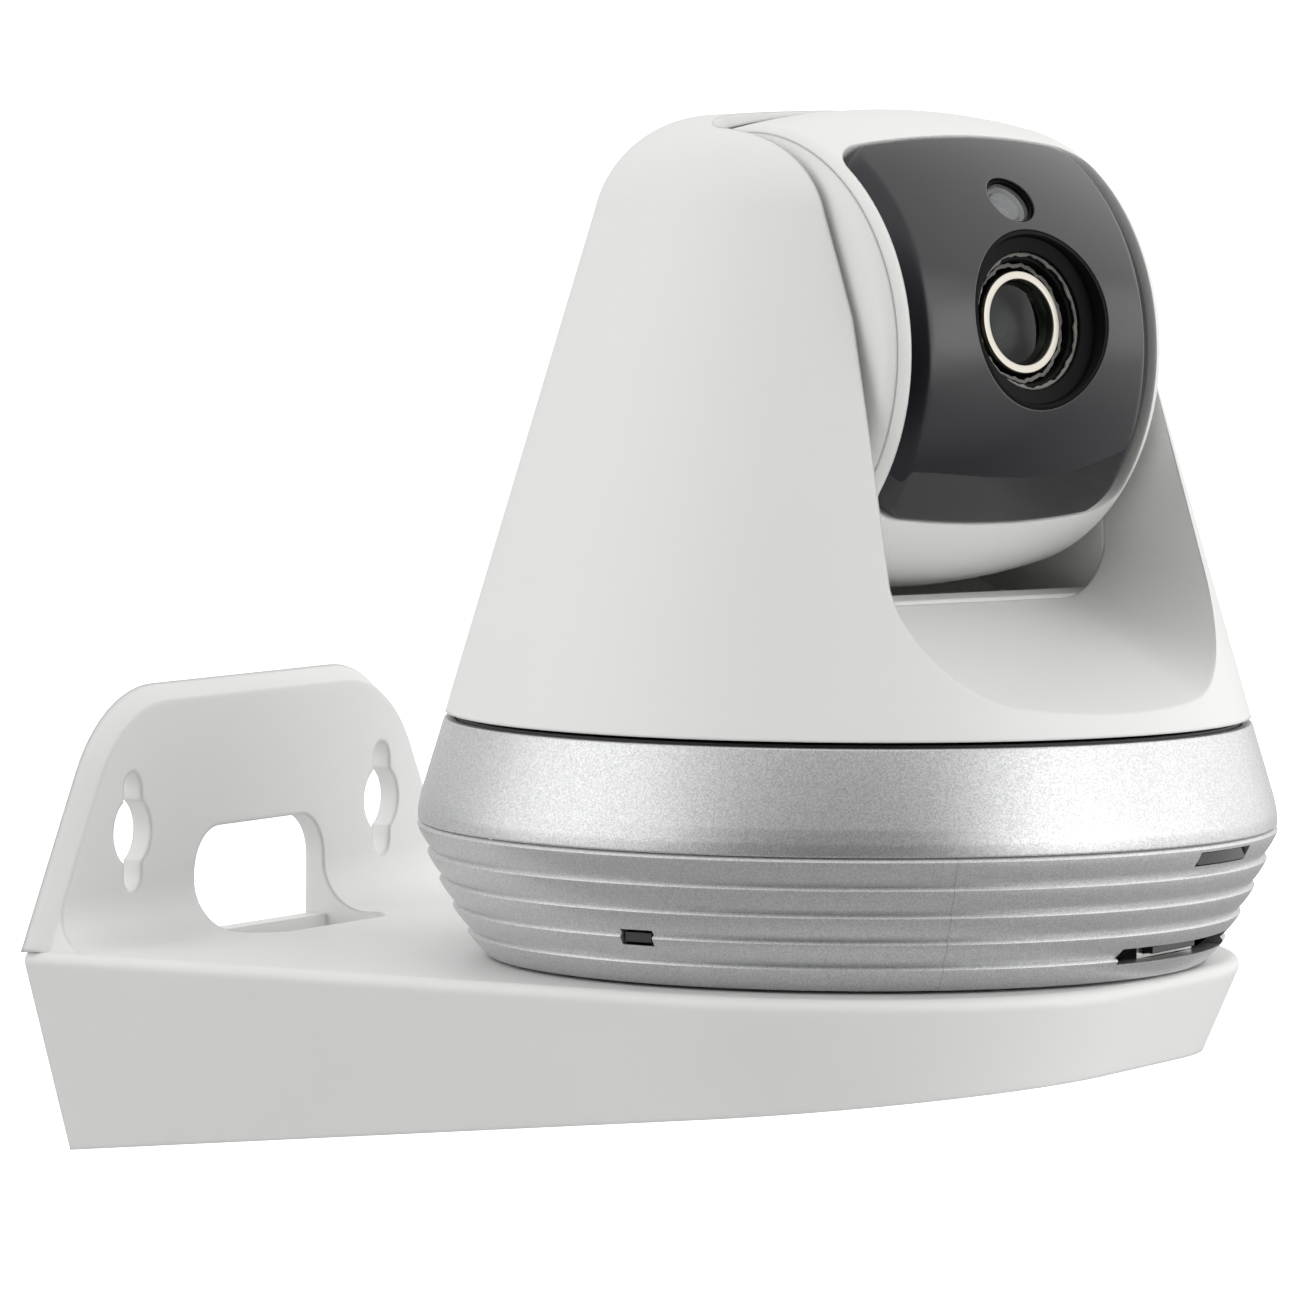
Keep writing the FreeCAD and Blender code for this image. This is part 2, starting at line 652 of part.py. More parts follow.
def front_panel():
    p = barrel(0.0).cut(barrel(1.5)).common(sector(PANEL_UP, PANEL_LOW, PANEL_HALF, 20.0, 32.0, 4.0))
    rim = [e for e in p.Edges if min(math.hypot(q.Point.y, q.Point.z) for q in e.Vertexes) > 26.2]
    p = p.makeFillet(1.1, rim)
    return ring_cut(p, [lens_hole(10.3), radial(cyl_y(3.2, -40, -20), SENSOR_UP)])


def lens_hood():
    items = [V(10.22, -28.5, 0), V(10.22, -24.6, 0), V(9.0, -24.0, 0), V(9.0, -19.0, 0),
             V(6.3, -19.0, 0), V(6.3, -22.6, 0), V(7.1, -22.8, 0), V(7.1, -24.0, 0), V(7.9, -24.2, 0),
             V(7.9, -25.0, 0), V(9.6, -25.4, 0), V(9.8, -28.5, 0)]
    s = Part.Face(path(items)).revolve(V(0, 0, 0), V(0, 1, 0), 360)
    return s.common(barrel(0.12))


def lens_ring():
    items = [V(4.85, -23.2, 0), V(5.0, -23.6, 0), V(5.65, -23.6, 0), V(5.9, -23.3, 0), V(5.9, -22.0, 0),
             V(4.85, -22.0, 0)]
    return Part.Face(path(items)).revolve(V(0, 0, 0), V(0, 1, 0), 360)


def lens_barrel():
    s = cyl_y(5.65, -21.95, -14.6).cut(cyl_y(4.8, -23, -17.0)).cut(cyl_y(3.2, -24, -14))
    return s


def lens_elements():
    front = [V(0, -23.1, 0), (V(2.6, dome(4.75, -22.2, -23.1, 2.6), 0), V(4.75, -22.2, 0)),
             V(4.75, -19.4, 0), V(0, -19.4, 0)]
    rear = [V(0, -18.4, 0), V(3.15, -18.4, 0), V(3.15, -16.4, 0),
            (V(1.6, dome(3.15, -16.4, -15.5, 1.6), 0), V(0, -15.5, 0))]
    faces = [Part.Face(path(outline)) for outline in (front, rear)]
    return Part.makeCompound([f.revolve(V(0, 0, 0), V(0, 1, 0), 360) for f in faces])


def lens_mount():
    s = joined([box(-9, 15, -14.5, -10.2, -8, 8), cyl_y(7.6, -18.0, -14.5)])
    s = s.cut(cyl_y(5.7, -19, -14.55)).cut(cyl_y(4.2, -19, -9))
    s = s.cut(box(-6, 14.0, -13.4, -11.9, -5.2, 5.2))
    return s.cut(box(-5, 5, -11, -9, -5, 5))


def filter_plate():
    frame = box(-4.7, 4.7, -13.05, -12.25, -4.7, 4.7)
    return frame.cut(cyl_y(3.3, -14, -12))


def filter_glass():
    return cyl_y(3.3, -12.95, -12.35)


def filter_coil():
    return box(9.6, 14.6, -16.9, -14.5, -5, 5)


def image_sensor():
    return box(-4.6, 4.6, -10.95, -10.2 + 0.9, -4.6, 4.6).cut(box(-3.2, 3.2, -12, -10.8, -2.4, 2.4))


POSTS = [(x, z) for x in (-12.5, 12.5) for z in (-13.0, 13.0)]


def camera_board():
    b = box(-16.5, 16.5, -9.3, -8.1, -16.5, 16.5)
    return ring_cut(b, [cyl_y(1.1, -10, -7, x, z) for x, z in POSTS])


def camera_chips():
    return Part.makeCompound([box(-5, 5, -8.1, -7.1, -5, 5), box(7.5, 12.5, -8.1, -7.3, -3, 3),
                              box(-12.5, -7.5, -8.1, -6.6, 4, 9), box(-7, 7, -8.1, -5.6, -14.5, -10.5)])


def head_standoffs():
    """Threaded sleeves between the two boards of the head, and their screws."""
    out = []
    for x, z in POSTS:
        out.append(cyl_y(1.9, -17.2, -9.3, x, z).cut(cyl_y(1.0, -18, -9, x, z)))
        out.append(joined([cyl_y(0.95, -15.5, -8.1, x, z), cyl_y(1.9, -8.1, -6.9, x, z)]))
    return Part.makeCompound(out)


def lamp_board():
    ears = [box(x - 2.2, x + 2.2, -18.4, -17.2, z - 2.2, z + 2.2) for x, z in POSTS]
    plate = cyl_y(15.3, -18.4, -17.2).common(box(-15, 15, -30, 0, -15, 15))
    return joined([plate] + ears).cut(lens_hole(9.6))


def ir_lamps():
    out = []
    for k in range(8):
        a = math.radians(22.5 + 45 * k)
        x, z = 12.4 * math.cos(a), 12.4 * math.sin(a)
        bulb = joined([cyl_y(1.5, -20.4, -18.4, x, z), Part.makeSphere(1.5, V(x, -20.4, z))])
        out.append(bulb)
    return Part.makeCompound(out)


def light_sensor_lens():
    items = [V(0, -27.3, 0), (V(1.6, dome(2.8, -26.6, -27.3, 1.6), 0), V(2.8, -26.6, 0)), V(2.8, -25.0, 0),
             V(0, -25.0, 0)]
    return radial(Part.Face(path(items)).revolve(V(0, 0, 0), V(0, 1, 0), 360), SENSOR_UP)


def light_sensor_ring():
    s = cyl_y(3.16, -27.2, -24.6).cut(cyl_y(2.82, -28, -25.0)).cut(cyl_y(1.8, -28, -22))
    return radial(s, SENSOR_UP)


def light_sensor():
    return radial(cyl_y(1.7, -24.8, -23.0), SENSOR_UP)


def tilt_axles():
    left = joined([cyl_x(2.5, -24.8, -19.6), cyl_x(4.5, -20.4, -19.2)])
    right = joined([cyl_x(2.5, 19.6, 25.9), cyl_x(4.5, 19.2, 20.4), cyl_x(1.6, 25.9, 28.0)])
    return Part.makeCompound([left, right])


def tilt_gear():
    # turned by the rest tilt, so that at rest a tooth points straight down at the idler
    return to_x(gear(36, TG_X0, TG_X1, 1.6, TILT_REST))


# ---- every piece, by what carries it -----------------------------------------------------------------
FIXED = {"base_bowl": base_bowl, "base_band": base_band, "base_deck": base_deck, "bottom_cover": bottom_cover,
         "base_screws": base_screws, "main_board": main_board, "main_chips": main_chips,
         "shield_can": shield_can, "microsd_socket": microsd_socket, "power_inlet": power_inlet,
         "speaker_frame": speaker_frame, "speaker_cone": speaker_cone, "led_window": led_window,
         "led_board": led_board, "status_leds": status_leds, "wifi_antenna": wifi_antenna,
         "reset_switch": reset_switch, "reset_button": reset_button, "pan_motor": pan_motor,
         "pan_pinion": pan_pinion, "thumb_screw": thumb_screw,
         "screw_washer": screw_washer, "pan_gear": pan_gear,
         "foot_ring": lambda: tube(31.9, 36.1, 0.0, 1.25),
         "tripod_insert": lambda: tube(3.25, 5.45, 0.6, 9.2),
         "memory_card": lambda: box(-5.5, 5.5, -42.2, -29.4, 3.05, 3.85)}
PANS = {"yoke_shell": yoke_shell, "yoke_liner": yoke_liner, "turntable": turntable,
        "turntable_washers": turntable_washers, "yoke_screws": yoke_screws, "tilt_idler": tilt_idler,
        "tilt_pinion": tilt_pinion, "tilt_motor": tilt_motor, "tilt_train_pins": tilt_train_pins,
        "tilt_bushes": tilt_bushes}
TILTS = {"head_front_shell": head_front_shell, "head_rear_shell": head_rear_shell,
         "head_side_caps": head_side_caps, "front_panel": front_panel, "lens_hood": lens_hood,
         "lens_ring": lens_ring, "lens_barrel": lens_barrel, "lens_elements": lens_elements,
         "lens_mount": lens_mount, "filter_plate": filter_plate, "filter_glass": filter_glass,
         "filter_coil": filter_coil, "image_sensor": image_sensor, "camera_board": camera_board,
         "camera_chips": camera_chips, "head_standoffs": head_standoffs,
         "lamp_board": lamp_board, "ir_lamps": ir_lamps, "light_sensor_lens": light_sensor_lens,
         "light_sensor_ring": light_sensor_ring, "light_sensor": light_sensor, "tilt_axles": tilt_axles,
         "tilt_gear": tilt_gear}

save("wall_bracket", wall_bracket())
for group, place in ((FIXED, unit), (PANS, yoke), (TILTS, head)):
    for name, make in group.items():
        s = place(make())
        print(name, len(s.Solids), s.isValid(), round(s.Volume, 1))
        save(name, s)
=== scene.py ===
import json
import math

import bmesh
import bpy
from mathutils import Matrix, Vector


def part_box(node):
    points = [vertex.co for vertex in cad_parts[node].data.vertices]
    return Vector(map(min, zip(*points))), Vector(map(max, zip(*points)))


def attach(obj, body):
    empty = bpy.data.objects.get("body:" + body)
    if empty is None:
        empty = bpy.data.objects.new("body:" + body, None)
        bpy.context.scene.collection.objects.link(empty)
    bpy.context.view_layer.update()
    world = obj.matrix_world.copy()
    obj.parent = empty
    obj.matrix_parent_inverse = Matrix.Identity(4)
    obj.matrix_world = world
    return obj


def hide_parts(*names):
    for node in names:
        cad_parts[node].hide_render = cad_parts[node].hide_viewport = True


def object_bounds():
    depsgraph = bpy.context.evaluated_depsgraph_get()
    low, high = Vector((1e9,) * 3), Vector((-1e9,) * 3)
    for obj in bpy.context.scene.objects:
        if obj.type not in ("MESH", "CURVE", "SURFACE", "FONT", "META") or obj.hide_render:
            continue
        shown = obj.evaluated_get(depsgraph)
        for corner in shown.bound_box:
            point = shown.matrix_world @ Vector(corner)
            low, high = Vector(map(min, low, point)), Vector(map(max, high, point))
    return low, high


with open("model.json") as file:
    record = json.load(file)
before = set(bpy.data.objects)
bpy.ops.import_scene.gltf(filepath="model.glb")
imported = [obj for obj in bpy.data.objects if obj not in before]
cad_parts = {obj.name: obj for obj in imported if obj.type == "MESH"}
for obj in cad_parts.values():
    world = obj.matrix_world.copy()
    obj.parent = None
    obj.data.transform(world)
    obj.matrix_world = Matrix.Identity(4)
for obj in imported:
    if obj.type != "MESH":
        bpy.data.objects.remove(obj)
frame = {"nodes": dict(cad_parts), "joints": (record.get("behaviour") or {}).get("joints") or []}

cad_low, cad_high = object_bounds()
nodes = frame["nodes"]
joints = {j["name"]: j for j in frame["joints"]}

# ---- Room -------------------------------------------------------------------------------------------
# A white product tent: a pale card that lies under the bracket and curls up behind it, broad soft
# lights above and to the sides, and a long lens level with the camera's shoulder.
scene = bpy.context.scene
scene.view_settings.view_transform = "Standard"
scene.view_settings.look = "None"
heading = math.radians(60.776)
ahead = Vector((math.sin(heading), math.cos(heading), 0))
aside = Vector((math.cos(heading), -math.sin(heading), 0))
heart = Vector((0, -0.083, 0.03))


def white_card(half_width, front, level, back, curl):
    """The tent's floor card: flat, then a quarter turn up into the back wall."""
    sheet = bmesh.new()
    rows = [(-front, level)]
    for i in range(25):
        turn = math.pi / 2 * i / 24
        rows.append((back + math.sin(turn) * curl, level + (1 - math.cos(turn)) * curl))
    rows.append((back + curl, level + 6.0))
    last = None
    for along, height in rows:
        pair = [sheet.verts.new((x, along, height)) for x in (-half_width, half_width)]
        if last:
            sheet.faces.new((last[0], last[1], pair[1], pair[0]))
        last = pair
    mesh = bpy.data.meshes.new("floor_card")
    sheet.to_mesh(mesh)
    sheet.free()
    mesh.shade_smooth()
    mesh.transform(Matrix.Rotation(-heading, 4, "Z"))
    made = bpy.data.objects.new("floor_card", mesh)
    scene.collection.objects.link(made)
    return made


floor = white_card(6.0, 4.0, cad_low.z - 0.09, 3.0, 0.6)
paper = bpy.data.materials.new("white_card")
paper.use_nodes = True
card_tree = paper.node_tree
shader = card_tree.nodes["Principled BSDF"]
fibre = card_tree.nodes.new("ShaderNodeTexNoise")
fibre.inputs["Scale"].default_value = 300.0
fibre_tone = card_tree.nodes.new("ShaderNodeMapRange")
fibre_tone.inputs["To Min"].default_value = 0.50
fibre_tone.inputs["To Max"].default_value = 0.53
card_tree.links.new(fibre.outputs["Fac"], fibre_tone.inputs["Value"])
card_tree.links.new(fibre_tone.outputs["Result"], shader.inputs["Base Color"])
shader.inputs["Roughness"].default_value = 0.9
shader.inputs["Emission Color"].default_value = (1, 1, 1, 1)
# the lens sees the card as clean white; what it throws back on the camera is a quiet grey
seen = card_tree.nodes.new("ShaderNodeLightPath")
far_off = card_tree.nodes.new("ShaderNodeVectorMath")
far_off.operation = "LENGTH"
card_tree.links.new(card_tree.nodes.new("ShaderNodeTexCoord").outputs["Object"], far_off.inputs[0])
sweep = card_tree.nodes.new("ShaderNodeMapRange")
sweep.interpolation_type = "SMOOTHSTEP"
sweep.inputs["From Min"].default_value = 0.15
sweep.inputs["From Max"].default_value = 1.5
sweep.inputs["To Min"].default_value = 0.11
sweep.inputs["To Max"].default_value = 0.42
card_tree.links.new(far_off.outputs["Value"], sweep.inputs["Value"])
glow = card_tree.nodes.new("ShaderNodeMath")
glow.operation = "MULTIPLY_ADD"
glow.inputs[1].default_value = 0.8
card_tree.links.new(seen.outputs["Is Camera Ray"], glow.inputs[0])
card_tree.links.new(sweep.outputs["Result"], glow.inputs[2])
card_tree.links.new(glow.outputs[0], shader.inputs["Emission Strength"])
floor.data.materials.append(paper)
floor.visible_glossy = False

# The tent's cloth is lit from outside: even all round, with a tall bright strip behind each shoulder of
# the lens, one at the left and one at the right, and a broad soft glow level with the camera.
room = bpy.data.worlds.new("tent")
scene.world = room
room.use_nodes = True
cloth = room.node_tree
sky = cloth.nodes["Background"]
facing = cloth.nodes.new("ShaderNodeTexCoord").outputs["Generated"]


def bright_patch(level, azimuth, climb, inner, outer):
    """Light on the tent round one direction: azimuth from the lens's side, positive to its right."""
    swing = math.radians(azimuth)
    flat = -ahead * math.cos(swing) + aside * math.sin(swing)
    aim = flat * math.cos(math.radians(climb)) + Vector((0, 0, math.sin(math.radians(climb))))
    near = cloth.nodes.new("ShaderNodeVectorMath")
    near.operation = "DOT_PRODUCT"
    near.inputs[1].default_value = aim
    cloth.links.new(facing, near.inputs[0])
    fade = cloth.nodes.new("ShaderNodeMapRange")
    fade.interpolation_type = "SMOOTHSTEP"
    fade.inputs["From Min"].default_value = math.cos(math.radians(outer))
    fade.inputs["From Max"].default_value = math.cos(math.radians(inner))
    fade.inputs["To Min"].default_value = 0.0
    fade.inputs["To Max"].default_value = level
    cloth.links.new(near.outputs["Value"], fade.inputs["Value"])
    return fade.outputs["Result"]


total = None
for level, azimuth, climb, inner, outer in ((0.35, 0, 90, 10, 100), (1.05, -80, 12, 8, 42),
                                            (1.25, 54, 12, 4, 30), (0.85, 104, 14, 10, 62),
                                            (0.75, 74, 8, 0, 15),
                                            (0.6, 100, 8, 0, 15), (0.7, 60, -20, 4, 32),
                                            (-0.62, 0, 6, 14, 52)):
    patch = bright_patch(level, azimuth, climb, inner, outer)
    joined = cloth.nodes.new("ShaderNodeMath")
    joined.operation = "ADD"
    joined.inputs[1].default_value = 0.62
    cloth.links.new(patch, joined.inputs[0])
    if total:
        cloth.links.new(total, joined.inputs[1])
    total = joined.outputs[0]
sky.inputs["Color"].default_value = (1.0, 0.995, 0.985, 1)
# below the horizon the cloth darkens slowly, as the card does when it is seen mirrored in the gloss
height = cloth.nodes.new("ShaderNodeSeparateXYZ")
cloth.links.new(facing, height.inputs[0])
low_down = cloth.nodes.new("ShaderNodeMapRange")
low_down.interpolation_type = "SMOOTHSTEP"
low_down.inputs["From Min"].default_value = -0.45
low_down.inputs["From Max"].default_value = 0.12
low_down.inputs["To Min"].default_value = 0.55
cloth.links.new(height.outputs["Z"], low_down.inputs["Value"])
dimmed = cloth.nodes.new("ShaderNodeMath")
dimmed.operation = "MULTIPLY"
cloth.links.new(total, dimmed.inputs[0])
cloth.links.new(low_down.outputs["Result"], dimmed.inputs[1])
cloth.links.new(dimmed.outputs[0], sky.inputs["Strength"])


def soft_light(name, place, width, height, power):
    lamp = bpy.data.lights.new(name, "AREA")
    lamp.shape = "RECTANGLE"
    lamp.size, lamp.size_y = width, height
    lamp.energy = power
    made = bpy.data.objects.new(name, lamp)
    scene.collection.objects.link(made)
    made.location = place
    made.rotation_mode = "QUATERNION"
    made.rotation_quaternion = (heart - place).to_track_quat("-Z", "Y")
    made.visible_glossy = False


soft_light("overhead", heart - ahead * 0.25 - aside * 0.5 + Vector((0, 0, 1.2)), 1.4, 1.4, 1.6)

lens = bpy.data.cameras.new("camera")
lens.sensor_width = 36.0
lens.lens = 36.0 * 8000 / 1300
lens.clip_start, lens.clip_end = 0.05, 50
viewer = bpy.data.objects.new("camera", lens)
scene.collection.objects.link(viewer)
scene.camera = viewer
dip, roll = -0.06535, 0.005893
look = Vector((math.sin(heading) * math.cos(dip), math.cos(heading) * math.cos(dip), math.sin(dip)))
right = look.cross(Vector((0, 0, 1))).normalized()
over = right.cross(look)
right, over = (math.cos(roll) * right + math.sin(roll) * over,
               math.cos(roll) * over - math.sin(roll) * right)
stand = Vector((-0.8214, -0.5162, 0.08363))
viewer.matrix_world = Matrix((
    (right.x, over.x, -look.x, stand.x),
    (right.y, over.y, -look.y, stand.y),
    (right.z, over.z, -look.z, stand.z),
    (0, 0, 0, 1)))

# ---- Where things sit -------------------------------------------------------------------------------
# Pieces are drawn in millimetres round their own axis, then put in place: on the base, on the turning
# yoke (its axis up the middle) or on the head (its axis the line of the two tilt axles).
band_low, band_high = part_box("base_band")
axis_x, axis_y = (band_low.x + band_high.x) / 2, (band_low.y + band_high.y) / 2
shelf_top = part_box("foot_ring")[0].z
swing = -Vector(joints["tilt"]["axis"])
yaw = math.atan2(swing.y, swing.x)
nod = math.radians(-8.7)
MILLIMETRES = Matrix.Scale(0.001, 4)
ON_BASE = Matrix.Translation((axis_x, axis_y, shelf_top)) @ MILLIMETRES
ON_YOKE = ON_BASE @ Matrix.Rotation(yaw, 4, "Z")
ON_HEAD = (Matrix.Translation(joints["tilt"]["pos_m"]) @ Matrix.Rotation(yaw, 4, "Z")
           @ Matrix.Rotation(nod, 4, "X") @ MILLIMETRES)

# ---- Wall bracket -----------------------------------------------------------------------------------
# One injection moulding in a slightly milky white plastic: a drafted wall plate with two keyholes and a
# cable arch, and a shelf with a skirt that tapers to the front. It is used just as it was drawn.


def plain(made):
    """What the modifiers make of a piece, as a plain mesh."""
    bpy.context.view_layer.update()
    settled = made.evaluated_get(bpy.context.evaluated_depsgraph_get())
    mesh = bpy.data.meshes.new_from_object(settled)
    mesh.name = made.name
    made.modifiers.clear()
    made.data = mesh
    return made


def fit(made, body, finish, slot, *stands_for):
    """Paints a finished piece, fixes it to what carries it, and hides the CAD solids it stands for."""
    if finish:
        made.data.materials.clear()
        made.data.materials.append(finish)
        for face in made.data.polygons:
            face.material_index = 0
    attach(made, body)
    if stands_for:
        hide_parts(*stands_for)
    return made


def paint(finish, *names):
    """Gives carried-over CAD solids their finish."""
    for name in names:
        slots = nodes[name].data.materials
        for i in range(len(slots)):
            slots[i] = finish


class Effect:
    """A surface effect that several finishes share: named values in, colours and heights out."""

    def __init__(self, name, takes, gives):
        self.tree = bpy.data.node_groups.new(name, "ShaderNodeTree")
        for label, value in takes.items():
            kind = "NodeSocketColor" if isinstance(value, tuple) else "NodeSocketFloat"
            socket = self.tree.interface.new_socket(label, in_out="INPUT", socket_type=kind)
            socket.default_value = value
        for label, kind in gives.items():
            self.tree.interface.new_socket(label, in_out="OUTPUT", socket_type="NodeSocket" + kind)
        self.come = self.tree.nodes.new("NodeGroupInput").outputs
        self.go = self.tree.nodes.new("NodeGroupOutput").inputs

    def add(self, kind, *feeds, **settings):
        return add_node(self.tree, kind, *feeds, **settings)

    def give(self, label, source):
        self.tree.links.new(source, self.go[label])


def add_node(tree, kind, *feeds, **settings):
    """Adds a node, feeds its inputs in order (None skips one) and returns it."""
    made = tree.nodes.new(kind)
    for label, value in settings.items():
        setattr(made, label, value)
    for socket, feed in zip(made.inputs, feeds):
        if feed is None:
            continue
        if isinstance(feed, bpy.types.NodeSocket):
            tree.links.new(feed, socket)
        else:
            socket.default_value = feed
    return made


def reckon(tree, sort, *feeds, clamp=False):
    return add_node(tree, "ShaderNodeMath", *feeds, operation=sort, use_clamp=clamp).outputs[0]


# Moulded plastic: a spark-eroded tool leaves a fine even grain, thick and thin walls cool a touch
# cloudy, and handling leaves the gloss a little uneven.
moulded = Effect("moulded_skin", {"Colour": (0.8, 0.8, 0.8, 1), "Cloud": 0.03, "Grain size": 0.18,
                                  "Gloss": 0.4, "Gloss spread": 0.06},
                 {"Colour": "Color", "Roughness": "Float", "Height": "Float"})
spot = moulded.add("ShaderNodeTexCoord").outputs["Object"]
cloud = moulded.add("ShaderNodeTexNoise", spot)
cloud.inputs["Scale"].default_value = 42.0
cloud.inputs["Detail"].default_value = 3.0
per_metre = reckon(moulded.tree, "DIVIDE", 1000.0, moulded.come["Grain size"])
grain = moulded.add("ShaderNodeTexNoise", spot)
moulded.tree.links.new(per_metre, grain.inputs["Scale"])
grain.inputs["Detail"].default_value = 2.0
wander = reckon(moulded.tree, "SUBTRACT", cloud.outputs["Fac"], 0.5)
lift = reckon(moulded.tree, "MULTIPLY_ADD", wander, moulded.come["Cloud"], 1.0)
tone = moulded.add("ShaderNodeVectorMath", moulded.come["Colour"], operation="SCALE")
moulded.tree.links.new(lift, tone.inputs["Scale"])
moulded.give("Colour", tone.outputs[0])
mixed = reckon(moulded.tree, "ADD", grain.outputs["Fac"], cloud.outputs["Fac"])
uneven = reckon(moulded.tree, "SUBTRACT", mixed, 1.0)
moulded.give("Roughness", reckon(moulded.tree, "MULTIPLY_ADD", uneven, moulded.come["Gloss spread"],
                                 moulded.come["Gloss"], clamp=True))
moulded.give("Height", grain.outputs["Fac"])


def bare_finish(name):
    made = bpy.data.materials.new(name)
    made.use_nodes = True
    return made, made.node_tree, made.node_tree.nodes["Principled BSDF"]


def with_skin(name, effect, depth, edge=0.0, **values):
    """A finish whose colour, gloss and fine relief come from a shared effect; depth is in millimetres.
    edge is the small tool radius that softens every crisp corner of the moulding."""
    made, tree, shader = bare_finish(name)
    skin = tree.nodes.new("ShaderNodeGroup")
    skin.node_tree = effect.tree
    for label, value in values.items():
        skin.inputs[label.replace("_", " ")].default_value = value
    relief = tree.nodes.new("ShaderNodeBump")
    relief.inputs["Strength"].default_value = 1.0
    relief.inputs["Distance"].default_value = depth * 0.001
    tree.links.new(skin.outputs["Height"], relief.inputs["Height"])
    if edge:
        softened = add_node(tree, "ShaderNodeBevel", edge * 0.001)
        softened.samples = 6
        tree.links.new(softened.outputs[0], relief.inputs["Normal"])
    tree.links.new(skin.outputs["Colour"], shader.inputs["Base Color"])
    tree.links.new(skin.outputs["Roughness"], shader.inputs["Roughness"])
    tree.links.new(relief.outputs["Normal"], shader.inputs["Normal"])
    return made, tree, shader


bracket_white, tree, shader = with_skin("bracket_white", moulded, 0.004, 0.9, Colour=(0.80, 0.81, 0.80, 1),
                                        Cloud=0.05, Grain_size=0.22, Gloss=0.40)
shader.inputs["Subsurface Weight"].default_value = 0.12
shader.inputs["Subsurface Radius"].default_value = (0.002, 0.002, 0.0018)
shader.inputs["Subsurface Scale"].default_value = 1.0
paint(bracket_white, "wall_bracket")

# ---- Base bowl --------------------------------------------------------------------------------------
# The foot of the camera: a plastic bowl in silver paint, with five louvred ribs that widen upwards, and
# openings for the status window, the memory card, the reset pin and the power plug.


class Recipe:
    """A rule for a repeated or ruled shape: named sizes in, one plain mesh out."""

    def __init__(self, name, sizes):
        self.tree = bpy.data.node_groups.new(name, "GeometryNodeTree")
        for label, value in sizes.items():
            kind = "NodeSocketInt" if isinstance(value, int) else "NodeSocketFloat"
            socket = self.tree.interface.new_socket(label, in_out="INPUT", socket_type=kind)
            socket.default_value = value
        self.tree.interface.new_socket("Finish", in_out="INPUT", socket_type="NodeSocketMaterial")
        self.tree.interface.new_socket("Piece", in_out="OUTPUT", socket_type="NodeSocketGeometry")
        self.come = self.tree.nodes.new("NodeGroupInput").outputs
        self.go = self.tree.nodes.new("NodeGroupOutput").inputs

    def add(self, kind, *feeds, **settings):
        return add_node(self.tree, kind, *feeds, **settings)

    def sum(self, sort, *feeds):
        return reckon(self.tree, sort, *feeds)

    def point(self, x, y, z):
        return self.add("ShaderNodeCombineXYZ", x, y, z).outputs[0]

    def end(self, shape):
        solid = self.add("GeometryNodeRealizeInstances", shape).outputs[0]
        painted = self.add("GeometryNodeSetMaterial", solid)
        self.tree.links.new(self.come["Finish"], painted.inputs["Material"])
        self.tree.links.new(painted.outputs[0], self.go["Piece"])

    def make(self, name, place, finish, smooth=35.0, **sizes):
        """Follows the rule with these sizes, sets the result in its place, and returns it."""
        made = bpy.data.objects.new(name, bpy.data.meshes.new(name))
        scene.collection.objects.link(made)
        rule = made.modifiers.new("rule", "NODES")
        rule.node_group = self.tree
        for item in self.tree.interface.items_tree:
            if item.in_out == "INPUT":
                label = item.name.replace(" ", "_")
                rule[item.identifier] = finish if item.name == "Finish" else sizes.get(label,
                                                                                       item.default_value)
        made = plain(made)
        tidy_mesh(made.data, place, smooth)
        return made


def tidy_mesh(mesh, place, smooth):
    """Merges doubles, turns every face outwards, sets the piece in place, smooth between crisp edges."""
    shape = bmesh.new()
    shape.from_mesh(mesh)
    bmesh.ops.remove_doubles(shape, verts=shape.verts, dist=1e-4)
    bmesh.ops.recalc_face_normals(shape, faces=shape.faces)
    shape.transform(place)
    shape.to_mesh(mesh)
    shape.free()
    mesh.shade_smooth()
    mesh.set_sharp_from_angle(angle=math.radians(smooth))
    mesh.update()


# Silver paint: aluminium flakes lie at slightly different angles under a thin clear coat, so each one
# catches the light on its own; the paint mist leaves a faint orange-peel.
flaked = Effect("flake_paint", {"Colour": (0.5, 0.5, 0.5, 1), "Flake size": 0.14, "Sparkle": 0.3,
                                "Gloss": 0.35},
                {"Colour": "Color", "Roughness": "Float", "Height": "Float"})
spot = flaked.add("ShaderNodeTexCoord").outputs["Object"]
flake = flaked.add("ShaderNodeTexVoronoi", spot)
flaked.tree.links.new(reckon(flaked.tree, "DIVIDE", 1000.0, flaked.come["Flake size"]), flake.inputs["Scale"])
each = flaked.add("ShaderNodeSeparateColor", flake.outputs["Color"])
mist = flaked.add("ShaderNodeTexNoise", spot)
mist.inputs["Scale"].default_value = 900.0
mist.inputs["Detail"].default_value = 2.0
lift = reckon(flaked.tree, "SUBTRACT", each.outputs[0], 0.5)
lift = reckon(flaked.tree, "MULTIPLY_ADD", lift, flaked.come["Sparkle"], 1.0)
tone = flaked.add("ShaderNodeVectorMath", flaked.come["Colour"], operation="SCALE")
flaked.tree.links.new(lift, tone.inputs["Scale"])
flaked.give("Colour", tone.outputs[0])
loose = reckon(flaked.tree, "SUBTRACT", each.outputs[1], 0.5)
flaked.give("Roughness", reckon(flaked.tree, "MULTIPLY_ADD", loose, 0.12, flaked.come["Gloss"]))
flaked.give("Height", reckon(flaked.tree, "MULTIPLY_ADD", each.outputs[2], 0.5, mist.outputs["Fac"]))
silver, tree, shader = with_skin("silver_paint", flaked, 0.006, Colour=(0.60, 0.605, 0.615, 1),
                                 Flake_size=0.13, Sparkle=0.42, Gloss=0.34)
